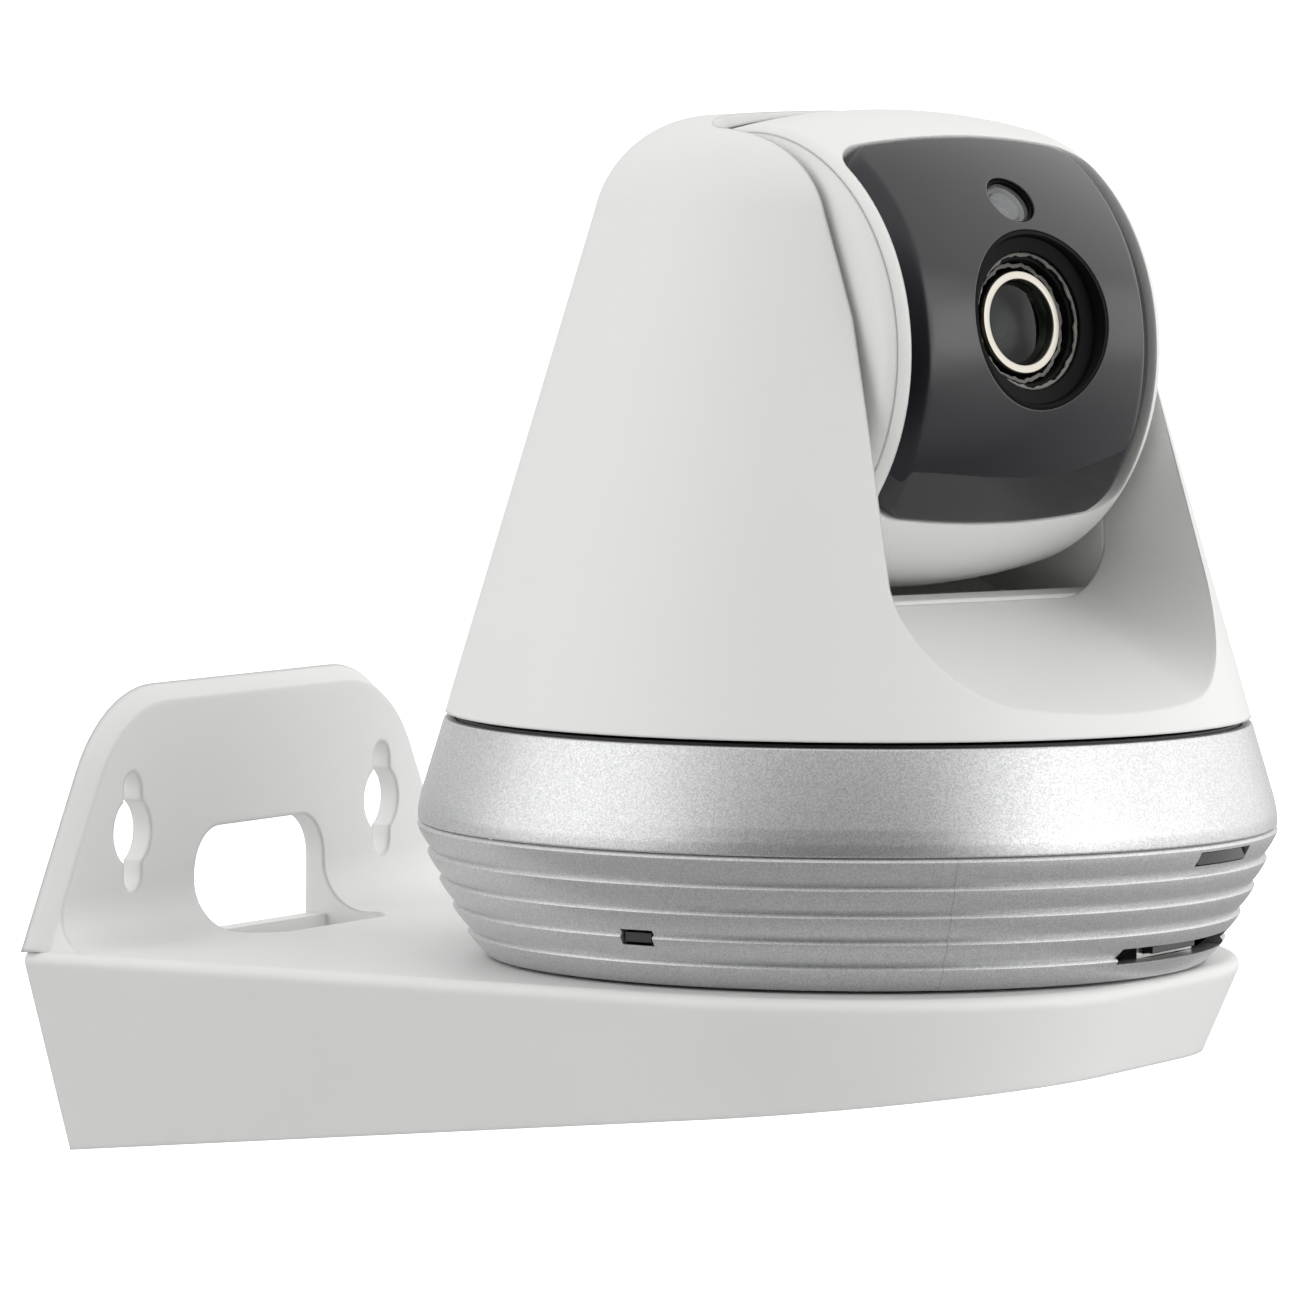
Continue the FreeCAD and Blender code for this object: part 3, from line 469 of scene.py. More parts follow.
shader.inputs["Metallic"].default_value = 0.72
shader.inputs["Coat Weight"].default_value = 0.25
shader.inputs["Coat Roughness"].default_value = 0.2
ribbed_silver, tree, shader = with_skin("silver_ribs", flaked, 0.006, Colour=(0.60, 0.605, 0.61, 1),
                                        Flake_size=0.13, Sparkle=0.34, Gloss=0.38)
shader.inputs["Metallic"].default_value = 0.72
shader.inputs["Coat Weight"].default_value = 0.2
shader.inputs["Coat Roughness"].default_value = 0.25
# the witness line where the two halves of the bowl's tool met, a hair wide, on one side only
base_centre = add_node(tree, "ShaderNodeMapping", tree.nodes.new("ShaderNodeTexCoord").outputs["Object"])
base_centre.inputs["Location"].default_value = (-axis_x, -axis_y, 0)
apart = add_node(tree, "ShaderNodeSeparateXYZ", base_centre.outputs[0])
PARTING = math.radians(-48.0)
across = reckon(tree, "MULTIPLY", apart.outputs["X"], math.cos(PARTING))
across = reckon(tree, "MULTIPLY_ADD", apart.outputs["Y"], math.sin(PARTING), across)
hair = reckon(tree, "LESS_THAN", reckon(tree, "ABSOLUTE", across), 0.00007)
outward = reckon(tree, "MULTIPLY", apart.outputs["X"], math.sin(PARTING))
outward = reckon(tree, "MULTIPLY_ADD", apart.outputs["Y"], -math.cos(PARTING), outward)
hair = reckon(tree, "MULTIPLY", hair, reckon(tree, "GREATER_THAN", outward, 0.0))
plain_colour = shader.inputs["Base Color"].links[0].from_socket
shade = add_node(tree, "ShaderNodeMix", data_type="RGBA")
tree.links.new(reckon(tree, "MULTIPLY", hair, 0.4), shade.inputs[0])
tree.links.new(plain_colour, shade.inputs[6])
shade.inputs[7].default_value = (0.25, 0.25, 0.24, 1)
tree.links.new(shade.outputs[2], shader.inputs["Base Color"])

bowl_rule = Recipe("louvred_bowl", {"Ribs": 5, "Foot radius": 42.45, "Foot height": 0.37, "Rise": 2.88,
                                    "Rise growth": 0.045, "Spread": 2.0, "Spread growth": -0.09,
                                    "Groove depth": 0.62, "Wall": 1.3, "Foot flange": 1.9,
                                    "Steps per rib": 14, "Round": 288})
ribs, steps, around = (bowl_rule.come[name] for name in ("Ribs", "Steps per rib", "Round"))
last_row = bowl_rule.sum("MULTIPLY_ADD", bowl_rule.sum("MULTIPLY", ribs, steps), 2.0, 1.0)
strip = bowl_rule.add("GeometryNodeMeshGrid", 1.0, 1.0, bowl_rule.sum("ADD", around, 1.0),
                      bowl_rule.sum("ADD", last_row, 1.0))
where = bowl_rule.add("ShaderNodeSeparateXYZ", bowl_rule.add("GeometryNodeInputPosition").outputs[0])
turn = bowl_rule.sum("MULTIPLY", where.outputs["X"], 2 * math.pi)
row = bowl_rule.sum("ROUND",
                    bowl_rule.sum("MULTIPLY", bowl_rule.sum("ADD", where.outputs["Y"], 0.5), last_row))
# the strip runs up the outside, back down the inside, and its last row closes on its first
row = bowl_rule.sum("MULTIPLY", row,
                    bowl_rule.sum("LESS_THAN", row, bowl_rule.sum("SUBTRACT", last_row, 0.5)))
along = bowl_rule.sum("DIVIDE", row, steps)
inside = bowl_rule.sum("GREATER_THAN", along, bowl_rule.sum("ADD", ribs, 0.001))
climb = bowl_rule.sum("MINIMUM", along,
                      bowl_rule.sum("MULTIPLY_ADD", ribs, 2.0, bowl_rule.sum("MULTIPLY", along, -1.0)))
climb_squared = bowl_rule.sum("MULTIPLY", climb, climb)


def lip_line(start, first, second):
    """start + first * climb + second * climb squared: the line that the tips of the ribs follow."""
    level = bowl_rule.sum("MULTIPLY_ADD", climb, bowl_rule.come[first], bowl_rule.come[start])
    return bowl_rule.sum("MULTIPLY_ADD", climb_squared, bowl_rule.come[second], level)


louvre = bowl_rule.add("ShaderNodeFloatCurve")
for at, value in ((0.10, 0.20), (0.30, 0.56), (0.55, 0.86), (0.76, 1.0), (0.86, 0.99), (0.95, 0.35)):
    louvre.mapping.curves[0].points.new(at, value)
louvre.mapping.curves[0].points[0].location = (0.0, 0.0)
louvre.mapping.curves[0].points[-1].location = (1.0, 0.0)
louvre.mapping.update()
within = bowl_rule.sum("FRACT", bowl_rule.sum("ADD", climb, 0.0001))
bowl_rule.tree.links.new(within, louvre.inputs["Value"])
groove = bowl_rule.sum("MULTIPLY", bowl_rule.sum("SUBTRACT", 1.0, louvre.outputs[0]),
                       bowl_rule.come["Groove depth"])
flange = bowl_rule.sum("MAXIMUM", bowl_rule.sum("SUBTRACT", 1.0, climb), 0.0)
back = bowl_rule.sum("ADD", bowl_rule.come["Groove depth"], bowl_rule.come["Wall"])
back = bowl_rule.sum("MULTIPLY_ADD", flange, bowl_rule.come["Foot flange"], back)
sunk = bowl_rule.add("ShaderNodeMix", inside, None, groove, back).outputs[0]
radius = bowl_rule.sum("SUBTRACT", lip_line("Foot radius", "Spread", "Spread growth"), sunk)
place = bowl_rule.point(bowl_rule.sum("MULTIPLY", radius, bowl_rule.sum("COSINE", turn)),
                        bowl_rule.sum("MULTIPLY", radius, bowl_rule.sum("SINE", turn)),
                        lip_line("Foot height", "Rise", "Rise growth"))
bent = bowl_rule.add("GeometryNodeSetPosition", strip.outputs["Mesh"])
bowl_rule.tree.links.new(place, bent.inputs["Position"])
bowl_rule.end(bent.outputs[0])
bowl = bowl_rule.make("base_bowl_moulding", Matrix.Identity(4), ribbed_silver)


def sharp_box(name, low, high, azimuth=0.0):
    """A plain block that only serves to cut an opening; azimuth 0 is the front, positive towards +X."""
    block = bmesh.new()
    bmesh.ops.create_cube(block, size=1.0)
    size = Vector(high) - Vector(low)
    bmesh.ops.scale(block, vec=size, verts=block.verts)
    bmesh.ops.translate(block, vec=(Vector(low) + Vector(high)) / 2, verts=block.verts)
    block.transform(Matrix.Rotation(math.radians(azimuth), 4, "Z"))
    mesh = bpy.data.meshes.new(name)
    block.to_mesh(mesh)
    block.free()
    return mesh


def round_bar(radius, from_y, to_y, x=0.0, z=0.0, sides=48):
    bar = bmesh.new()
    bmesh.ops.create_cone(bar, cap_ends=True, segments=sides, radius1=radius, radius2=radius,
                          depth=to_y - from_y)
    bar.transform(Matrix.Translation((x, (from_y + to_y) / 2, z)) @ Matrix.Rotation(math.pi / 2, 4, "X"))
    mesh = bpy.data.meshes.new("bar")
    bar.to_mesh(mesh)
    bar.free()
    return mesh


def opened(made, cutters):
    """Cuts each opening out of a piece while it's still drawn in millimetres."""
    tools = []
    for mesh in cutters:
        tool = bpy.data.objects.new("opening", mesh)
        scene.collection.objects.link(tool)
        cut = made.modifiers.new("opening", "BOOLEAN")
        cut.operation, cut.solver, cut.object = "DIFFERENCE", "EXACT", tool
        tools.append(tool)
    made = plain(made)
    for tool in tools:
        bpy.data.objects.remove(tool)
    return made


LED_AZIMUTH = -2.2
bowl = opened(bowl, [sharp_box("status", (-5.9, -54, 13.45), (5.9, -40, 15.1), LED_AZIMUTH),
                     sharp_box("card", (-13.8, -54, 2.5), (13.8, -36, 4.3)),
                     sharp_box("reset", (-2.1, -54, 5.0), (2.1, -38, 6.8), -93.0),
                     round_bar(3.6, 36, 54, z=9.6)])
tidy_mesh(bowl.data, ON_BASE, 38.0)
fit(bowl, "bracket_and_base", ribbed_silver, "silver_paint", "base_bowl")

# ---- Silver band and deck ---------------------------------------------------------------------------
# A sloping ring in metallic silver paint on plastic, pressed over the bowl, and the black deck whose
# upright lip shows as the dark shadow line under the yoke.


def lathe(name, profile, place, finish, around=192, smooth=32.0, upright=True):
    """A turned piece: a closed outline of (radius, height) points spun round its axis, poles closed."""
    shape = bmesh.new()
    rings = []
    for r, h in profile:
        if abs(r) < 1e-6:
            rings.append([shape.verts.new((0, 0, h))] * around)
        else:
            rings.append([shape.verts.new((r * math.cos(2 * math.pi * k / around),
                                           r * math.sin(2 * math.pi * k / around),
                                           h)) for k in range(around)])
    for here, there in zip(rings, rings[1:] + rings[:1]):
        for k in range(around):
            corners = []
            for v in (here[k], here[(k + 1) % around], there[(k + 1) % around], there[k]):
                if v not in corners:
                    corners.append(v)
            if len(corners) > 2:
                shape.faces.new(corners)
    mesh = bpy.data.meshes.new(name)
    shape.to_mesh(mesh)
    shape.free()
    made = bpy.data.objects.new(name, mesh)
    scene.collection.objects.link(made)
    turned = place if upright else place @ Matrix.Rotation(math.pi / 2, 4, "X")
    tidy_mesh(mesh, turned, smooth)
    made.data.materials.append(finish)
    return made


def eased(corners, radius, steps=4):
    """A closed outline with each (r, h) corner rounded; a corner given as (r, h, 0) stays crisp."""
    out = []
    count = len(corners)
    for i, corner in enumerate(corners):
        here = Vector(corner[:2])
        ease = corner[2] if len(corner) > 2 else radius
        before = Vector(corners[i - 1][:2]) - here
        after = Vector(corners[(i + 1) % count][:2]) - here
        ease = min(ease, before.length * 0.45, after.length * 0.45)
        if ease < 1e-4:
            out.append(tuple(here))
            continue
        start, stop = here + before.normalized() * ease, here + after.normalized() * ease
        for k in range(steps + 1):
            t = k / steps
            out.append(tuple(start * (1 - t) ** 2 + here * (2 * t * (1 - t)) + stop * t ** 2))
    return out


band_line = eased([(47.95, 15.95), (49.98, 15.95), (49.93, 17.4), (49.62, 19.0), (46.95, 27.8),
                   (45.75, 27.8), (45.75, 25.2), (46.3, 25.0), (47.75, 18.9)], 0.25)
band = lathe("base_band_ring", band_line, ON_BASE, silver, around=256)
fit(band, "bracket_and_base", silver, "silver_paint", "base_band")

# ---- Yoke -------------------------------------------------------------------------------------------
# The tall white cone that pans, one thin moulding with a scooped slot for the head, and behind the
# head the curved trough that closes it off. Both have their tool radius on every rim.
shell_white, tree, shader = with_skin("shell_white", moulded, 0.003, 0.5, Colour=(0.775, 0.775, 0.765, 1),
                                      Cloud=0.035, Grain_size=0.16, Gloss=0.36)
paint(shell_white, "yoke_shell", "yoke_liner")

# ---- Head shells ------------------------------------------------------------------------------------
# Front and rear barrel shells and the two end caps, moulded in the same white and clipped together; the
# joint between a cap and the barrel shows as a fine seam on the side of the head.
paint(shell_white, "head_front_shell", "head_rear_shell", "head_side_caps")

# ---- Front panel ------------------------------------------------------------------------------------
# A glossy black window moulded to the head's curve. Its long sides roll over in a broad dark shoulder,
# its ends have a small radius, and two holes let the lens and the light sensor through.
panel_black, tree, shader = with_skin("panel_black", moulded, 0.0005, 0.25, Colour=(0.012, 0.011, 0.015, 1),
                                      Cloud=0.5, Grain_size=0.9, Gloss=0.05, Gloss_spread=0.015)
shader.inputs["IOR"].default_value = 1.52
HEAD_RADIUS, HEAD_CROWN = 27.6, 95.0
PANEL_HALF, PANEL_CORNER, PANEL_THICK = 19.0, 4.0, 1.45


def panel_form(upper, lower, shoulder, end_ease, steps_across, steps_along):
    """The panel unrolled: rows up the barrel, columns across, crowded towards the rolled-over sides."""
    shape = bmesh.new()
    reach = HEAD_RADIUS * math.radians(upper - lower) / 2
    middle = HEAD_RADIUS * math.radians(upper + lower) / 2
    skins = {"front": [], "back": []}
    for i in range(-steps_along, steps_along + 1):
        up = reach * math.sin(math.pi / 2 * i / steps_along)
        over = max(0.0, abs(up) - (reach - PANEL_CORNER))
        half = PANEL_HALF - PANEL_CORNER + math.sqrt(max(0.0, PANEL_CORNER ** 2 - over ** 2))
        front, back = [], []
        for j in range(-steps_across, steps_across + 1):
            x = half * math.sin(math.pi / 2 * j / steps_across)
            aside_of = max(0.0, abs(x) - (PANEL_HALF - PANEL_CORNER))
            edge_side, edge_end = half - abs(x), reach - abs(up)
            if over > 0 and aside_of > 0:
                edge_end = PANEL_CORNER - math.hypot(over, aside_of)
            roll = max(0.0, 1 - max(0.0, edge_side) / shoulder)
            tip = max(0.0, 1 - max(0.0, edge_end) / end_ease)
            drop = max(1.35 * roll ** 1.15, 0.6 * (1 - math.sqrt(1 - tip ** 2)))
            crown = HEAD_RADIUS - x * x / (2 * HEAD_CROWN)
            lift = (up + middle) / HEAD_RADIUS
            for row, r in ((front, crown - drop), (back, crown - PANEL_THICK)):
                row.append(shape.verts.new((x, -r * math.cos(lift), r * math.sin(lift))))
        skins["front"].append(front)
        skins["back"].append(back)
    for rows in skins.values():
        for low, high in zip(rows, rows[1:]):
            for k in range(len(low) - 1):
                shape.faces.new((low[k], low[k + 1], high[k + 1], high[k]))
    front, back = skins["front"], skins["back"]
    rim_front = front[0] + [r[-1] for r in front[1:]] + front[-1][-2::-1] + [r[0] for r in front[-2:0:-1]]
    rim_back = back[0] + [r[-1] for r in back[1:]] + back[-1][-2::-1] + [r[0] for r in back[-2:0:-1]]
    for k in range(len(rim_front)):
        n = (k + 1) % len(rim_front)
        shape.faces.new((rim_front[k], rim_front[n], rim_back[n], rim_back[k]))
    bmesh.ops.recalc_face_normals(shape, faces=shape.faces)
    mesh = bpy.data.meshes.new("panel")
    shape.to_mesh(mesh)
    shape.free()
    made = bpy.data.objects.new("front_panel_window", mesh)
    scene.collection.objects.link(made)
    return made


SENSOR_UP = math.radians(30.6)
LENS_HOLE, SENSOR_HOLE = 10.3, 3.2
sensor_bar = round_bar(SENSOR_HOLE, -40, -15, sides=96)
sensor_bar.transform(Matrix.Rotation(-SENSOR_UP, 4, "X"))
panel = opened(panel_form(54.3, -53.7, 2.5, 0.7, 44, 60),
               [round_bar(LENS_HOLE, -40, -15, sides=160), sensor_bar])
tidy_mesh(panel.data, ON_HEAD, 40.0)
fit(panel, "camera_head", panel_black, "panel_black", "front_panel")

# ---- Lens hood --------------------------------------------------------------------------------------
# A matt black funnel behind the panel, stepped like a camera baffle so that no stray light reaches the
# glass, with a torn-edged foam seal where the lens barrel comes through it.
hood_black, tree, shader = with_skin("hood_black", moulded, 0.02, 0.1, Colour=(0.003, 0.003, 0.0032, 1),
                                     Cloud=0.4,
                                     Grain_size=0.12, Gloss=0.5, Gloss_spread=0.2)
shader.inputs["Specular IOR Level"].default_value = 0.08


def on_barrel(made, below):
    """Trims a turned piece's rim to the head's curved surface."""
    for v in made.data.vertices:
        crown = HEAD_RADIUS - v.co.x ** 2 / (2 * HEAD_CROWN) - below
        limit = -math.sqrt(max(0.0, crown ** 2 - v.co.z ** 2))
        v.co.y = max(v.co.y, limit)
    made.data.transform(ON_HEAD)
    made.data.update()
    return made


hood_line = eased([(10.22, 28.6), (10.22, 24.6, 0), (9.0, 24.0, 0), (9.0, 19.0, 0), (6.3, 19.0, 0),
                   (6.3, 22.5),
                   (6.95, 22.55), (7.05, 23.9), (7.75, 24.0), (7.85, 24.9), (9.55, 25.2), (9.85, 28.6)], 0.15)
hood = lathe("lens_hood_funnel", hood_line, Matrix.Identity(4), hood_black, around=160, upright=False)
fit(on_barrel(hood, 0.06), "camera_head", hood_black, "hood_black", "lens_hood")

seal_grey, tree, shader = with_skin("seal_foam", moulded, 0.06, Colour=(0.21, 0.20, 0.185, 1), Cloud=1.2,
                                    Grain_size=0.25, Gloss=0.85)
seal = lathe("foam_seal", eased([(6.5, 22.75), (6.95, 22.75), (6.95, 23.0), (6.5, 23.0)], 0.06),
             Matrix.Identity(4), seal_grey, around=160, upright=False)
collar = lathe("foam_collar", eased([(7.6, 24.2), (8.05, 24.25), (8.05, 24.5), (7.6, 24.45)], 0.06),
               Matrix.Identity(4), seal_grey, around=160, upright=False)
for ring in (seal, collar):
    for v in ring.data.vertices:
        spin = math.atan2(v.co.z, v.co.x)
        ragged = (0.10 * math.sin(11 * spin) + 0.07 * math.sin(23 * spin + 1.0)
                  + 0.05 * math.sin(41 * spin + 2.2))
        r = math.hypot(v.co.x, v.co.z)
        v.co.x *= (r + ragged - 0.12) / r
        v.co.z *= (r + ragged - 0.12) / r
    ring.data.transform(ON_HEAD)
    fit(ring, "camera_head", seal_grey, "hood_black")

# ---- Lens -------------------------------------------------------------------------------------------
# The bright nickel retaining ring, the black barrel it screws on, and two coated glass elements; the
# front one stands almost level with the ring.
brushed = Effect("turned_metal", {"Colour": (0.6, 0.6, 0.6, 1), "Line size": 0.12, "Streak": 0.12,
                                  "Gloss": 0.3, "Gloss spread": 0.12},
                 {"Colour": "Color", "Roughness": "Float", "Height": "Float"})
spot = brushed.add("ShaderNodeTexCoord").outputs["Object"]
lines = brushed.add("ShaderNodeTexNoise", spot)
brushed.tree.links.new(reckon(brushed.tree, "DIVIDE", 1000.0, brushed.come["Line size"]),
                       lines.inputs["Scale"])
lines.inputs["Detail"].default_value = 4.0
stain = brushed.add("ShaderNodeTexNoise", spot)
stain.inputs["Scale"].default_value = 160.0
wander = reckon(brushed.tree, "SUBTRACT", lines.outputs["Fac"], 0.5)
lift = reckon(brushed.tree, "MULTIPLY_ADD", wander, brushed.come["Streak"], 1.0)
tone = brushed.add("ShaderNodeVectorMath", brushed.come["Colour"], operation="SCALE")
brushed.tree.links.new(lift, tone.inputs["Scale"])
brushed.give("Colour", tone.outputs[0])
uneven = reckon(brushed.tree, "SUBTRACT",
                reckon(brushed.tree, "ADD", lines.outputs["Fac"], stain.outputs["Fac"]), 1.0)
brushed.give("Roughness", reckon(brushed.tree, "MULTIPLY_ADD", uneven, brushed.come["Gloss spread"],
                                 brushed.come["Gloss"], clamp=True))
brushed.give("Height", lines.outputs["Fac"])


def metal(name, colour, gloss, line=0.15, depth=0.002):
    made, tree, shader = with_skin(name, brushed, depth, Colour=(*colour, 1), Line_size=line, Gloss=gloss)
    shader.inputs["Metallic"].default_value = 1.0
    return made


nickel = metal("ring_nickel", (0.43, 0.41, 0.365), 0.3)
ring_line = eased([(4.87, 23.45), (4.96, 23.62), (5.8, 23.62), (5.88, 23.5), (5.88, 22.05, 0),
                   (4.87, 22.05, 0)], 0.12)
ring = lathe("lens_ring_nickel", ring_line, ON_HEAD, nickel, around=128, upright=False)
fit(ring, "camera_head", nickel, "ring_nickel", "lens_ring")
barrel_line = eased([(4.82, 21.93), (5.62, 21.93), (5.62, 14.65, 0), (3.25, 14.65, 0), (3.25, 16.95),
                     (3.6, 17.0),
                     (3.6, 17.6), (4.05, 17.65), (4.05, 18.3), (4.45, 18.35), (4.45, 19.0), (4.82, 19.05)],
                    0.06)
barrel = lathe("lens_barrel_baffled", barrel_line, ON_HEAD, hood_black, around=96, upright=False)
fit(barrel, "camera_head", hood_black, "hood_black", "lens_barrel")


def ball_cap(edge_r, edge_h, pole_h, steps=10):
    """Outline of a polished lens face from its pole to its edge."""
    sag = pole_h - edge_h
    ball = (edge_r ** 2 + sag ** 2) / (2 * abs(sag))
    way = math.copysign(1, sag)
    return [(edge_r * k / steps, pole_h - way * (ball - math.sqrt(ball ** 2 - (edge_r * k / steps) ** 2)))
            for k in range(steps + 1)]


coated, tree, shader = with_skin("lens_glass", moulded, 0.0, Colour=(0.14, 0.22, 0.17, 1), Cloud=0.05,
                                 Gloss=0.012,
                                 Gloss_spread=0.004)
shader.inputs["Transmission Weight"].default_value = 1.0
shader.inputs["IOR"].default_value = 1.3
front_glass = lathe("lens_front_glass",
                    ball_cap(4.75, 22.55, 23.15) + [(4.75, 19.7), (4.2, 19.45), (0, 20.4)],
                    ON_HEAD, coated, around=96, upright=False)
fit(front_glass, "camera_head", coated, "lens_glass", "lens_elements")
rear_glass = lathe("lens_rear_glass", ball_cap(3.15, 18.1, 18.6) + [(3.15, 16.4), (0, 15.6)], ON_HEAD, coated,
                   around=72, upright=False)
fit(rear_glass, "camera_head", coated, "lens_glass")
iris = lathe("lens_iris", [(1.3, 19.28), (4.3, 19.38), (4.3, 19.2), (1.3, 19.2)], ON_HEAD, hood_black,
             around=72,
             upright=False)
fit(iris, "camera_head", hood_black, "hood_black")

# ---- Light sensor -----------------------------------------------------------------------------------
# A small clear lens in a thin ring above the main one, over the sensor that tells day from night.
UP_BARREL = ON_HEAD @ Matrix.Rotation(-SENSOR_UP, 4, "X")
clear, tree, shader = with_skin("sensor_clear", moulded, 0.002, Colour=(0.62, 0.64, 0.66, 1), Cloud=0.03,
                                Gloss=0.03,
                                Grain_size=0.6)
shader.inputs["Transmission Weight"].default_value = 0.9
shader.inputs["IOR"].default_value = 1.46
eye = lathe("sensor_clear_lens",
            ball_cap(2.8, 26.75, 27.3) + [(2.8, 25.1), (2.0, 25.05), (1.7, 25.5), (0, 25.6)],
            UP_BARREL, clear, around=72, upright=False)
fit(eye, "camera_head", clear, "sensor_glass", "light_sensor_lens")
eye_ring = lathe("sensor_ring_black", eased([(2.84, 27.15), (3.14, 27.15), (3.14, 24.6, 0), (1.82, 24.6, 0),
                                             (1.82, 25.0, 0), (2.84, 25.0, 0)], 0.08),
                 UP_BARREL, hood_black, around=72, upright=False)
fit(eye_ring, "camera_head", hood_black, "hood_black", "light_sensor_ring")
sensor_pale, tree, shader = with_skin("sensor_pale", moulded, 0.002, Colour=(0.13, 0.135, 0.145, 1),
                                      Cloud=0.2, Gloss=0.3)
paint(sensor_pale, "light_sensor")

# ---- Status window ----------------------------------------------------------------------------------
# A strip of smoked clear plastic let into the bowl's rim; three small lights shine through it.
smoked, tree, shader = with_skin("smoked_window", moulded, 0.0008, 0.15, Colour=(0.014, 0.013, 0.015, 1),
                                 Cloud=0.3,
                                 Grain_size=0.9, Gloss=0.08, Gloss_spread=0.02)
paint(smoked, "led_window")

# ---- Toothed wheels ---------------------------------------------------------------------------------
# Moulded nylon gears of module 0.5: the pan motor's pinion turns the wheel on the yoke's hub, and a
# pinion and idler turn the wheel on the head's axle. The camera screw's grip follows the same rule.
wheel_rule = Recipe("toothed_wheel", {"Teeth": 18, "Tip radius": 5.0, "Root radius": 4.0, "Bore": 1.0,
                                      "Lower face": 0.0, "Upper face": 2.0, "Land": 0.18, "Gullet": 0.64,
                                      "Steps per tooth": 12})
take = wheel_rule.come
outline = wheel_rule.add("GeometryNodeCurvePrimitiveCircle")
wheel_rule.tree.links.new(wheel_rule.sum("MULTIPLY", take["Teeth"], take["Steps per tooth"]),
                          outline.inputs["Resolution"])
outline.inputs["Radius"].default_value = 1.0
part_way = wheel_rule.add("GeometryNodeSplineParameter").outputs["Factor"]
in_tooth = wheel_rule.sum("FRACT", wheel_rule.sum("MULTIPLY_ADD", part_way, take["Teeth"], 0.5))
off_centre = wheel_rule.sum("MULTIPLY", wheel_rule.sum("ABSOLUTE", wheel_rule.sum("SUBTRACT", in_tooth, 0.5)),
                            2.0)
flank = wheel_rule.add("ShaderNodeMapRange", off_centre, take["Land"], take["Gullet"], take["Tip radius"],
                       take["Root radius"], clamp=True)
spot_on = wheel_rule.add("GeometryNodeInputPosition").outputs[0]
toothed = wheel_rule.add("ShaderNodeVectorMath", spot_on, operation="SCALE")
wheel_rule.tree.links.new(flank.outputs[0], toothed.inputs["Scale"])
shaped = wheel_rule.add("GeometryNodeSetPosition", outline.outputs["Curve"])
wheel_rule.tree.links.new(toothed.outputs[0], shaped.inputs["Position"])
bore = wheel_rule.add("GeometryNodeCurvePrimitiveCircle")
bore.inputs["Resolution"].default_value = 64
wheel_rule.tree.links.new(take["Bore"], bore.inputs["Radius"])
both = wheel_rule.add("GeometryNodeJoinGeometry")
wheel_rule.tree.links.new(shaped.outputs[0], both.inputs[0])
wheel_rule.tree.links.new(bore.outputs["Curve"], both.inputs[0])
flat_face = wheel_rule.add("GeometryNodeFillCurve", both.outputs[0])
lowered = wheel_rule.add("GeometryNodeTransform", flat_face.outputs[0])
wheel_rule.tree.links.new(wheel_rule.point(0.0, 0.0, take["Lower face"]), lowered.inputs["Translation"])
thick = wheel_rule.add("GeometryNodeExtrudeMesh", lowered.outputs[0])
thick.inputs["Individual"].default_value = False
rise = wheel_rule.point(0.0, 0.0, wheel_rule.sum("SUBTRACT", take["Upper face"], take["Lower face"]))
wheel_rule.tree.links.new(rise, thick.inputs["Offset"])
thick.inputs["Offset Scale"].default_value = 1.0
under = wheel_rule.add("GeometryNodeFlipFaces", lowered.outputs[0])
whole = wheel_rule.add("GeometryNodeJoinGeometry")
wheel_rule.tree.links.new(thick.outputs[0], whole.inputs[0])
wheel_rule.tree.links.new(under.outputs[0], whole.inputs[0])
wheel_rule.end(whole.outputs[0])

nylon, tree, shader = with_skin("gear_nylon", moulded, 0.004, 0.08, Colour=(0.80, 0.78, 0.70, 1), Cloud=0.08,
                                Gloss=0.38)
shader.inputs["Subsurface Weight"].default_value = 0.1
shader.inputs["Subsurface Radius"].default_value = (0.001, 0.001, 0.0008)
shader.inputs["Subsurface Scale"].default_value = 1.0
MODULE = 0.5
SIDEWAYS = Matrix.Rotation(math.pi / 2, 4, "Y")
PINION_AZIMUTH = math.radians(35.0)
pinion_place = Matrix.Translation((24.0 * math.sin(PINION_AZIMUTH), -24.0 * math.cos(PINION_AZIMUTH), 0))
tilt_pinion_place = ON_YOKE @ Matrix.Translation((0, -5.5, 49.9)) @ SIDEWAYS
# The pan wheel rides on the yoke, but its teeth are set from the motor, so it is placed from the base.
GEARS = (("pan_gear", "camera_yoke", 80, 7.02, 21.3, 23.3, ON_BASE, -55.0),
         ("pan_pinion", "pan_pinion", 16, 1.0, 21.2, 23.4, ON_BASE @ pinion_place, 136.25),
         ("tilt_gear", "camera_head", 36, 1.62, 25.9, 27.5, ON_HEAD @ SIDEWAYS, 8.7),
         ("tilt_idler", "tilt_idler", 18, 1.05, 25.9, 27.5,
          ON_YOKE @ Matrix.Translation((0, -5.5, 57.4)) @ SIDEWAYS, 190.0),
         ("tilt_pinion", "tilt_pinion", 12, 0.9, 25.9, 27.5,
          tilt_pinion_place, 180.0))
for node, body, teeth, hole, low, high, place, first in GEARS:
    wheel = wheel_rule.make(node + "_nylon", place @ Matrix.Rotation(math.radians(first), 4, "Z"), nylon,
                            Teeth=teeth,
                            Tip_radius=MODULE * teeth / 2 + 0.9 * MODULE,
                            Root_radius=MODULE * teeth / 2 - 1.2 * MODULE,
                            Bore=hole, Lower_face=low, Upper_face=high)
    fit(wheel, body, nylon, "gear_nylon", node)
axle_steel = metal("axle_steel", (0.62, 0.62, 0.61), 0.22)
pin_line = eased([(0.0, 15.5, 0), (0.99, 15.5), (0.99, 23.3), (0.0, 23.3, 0)], 0.15)
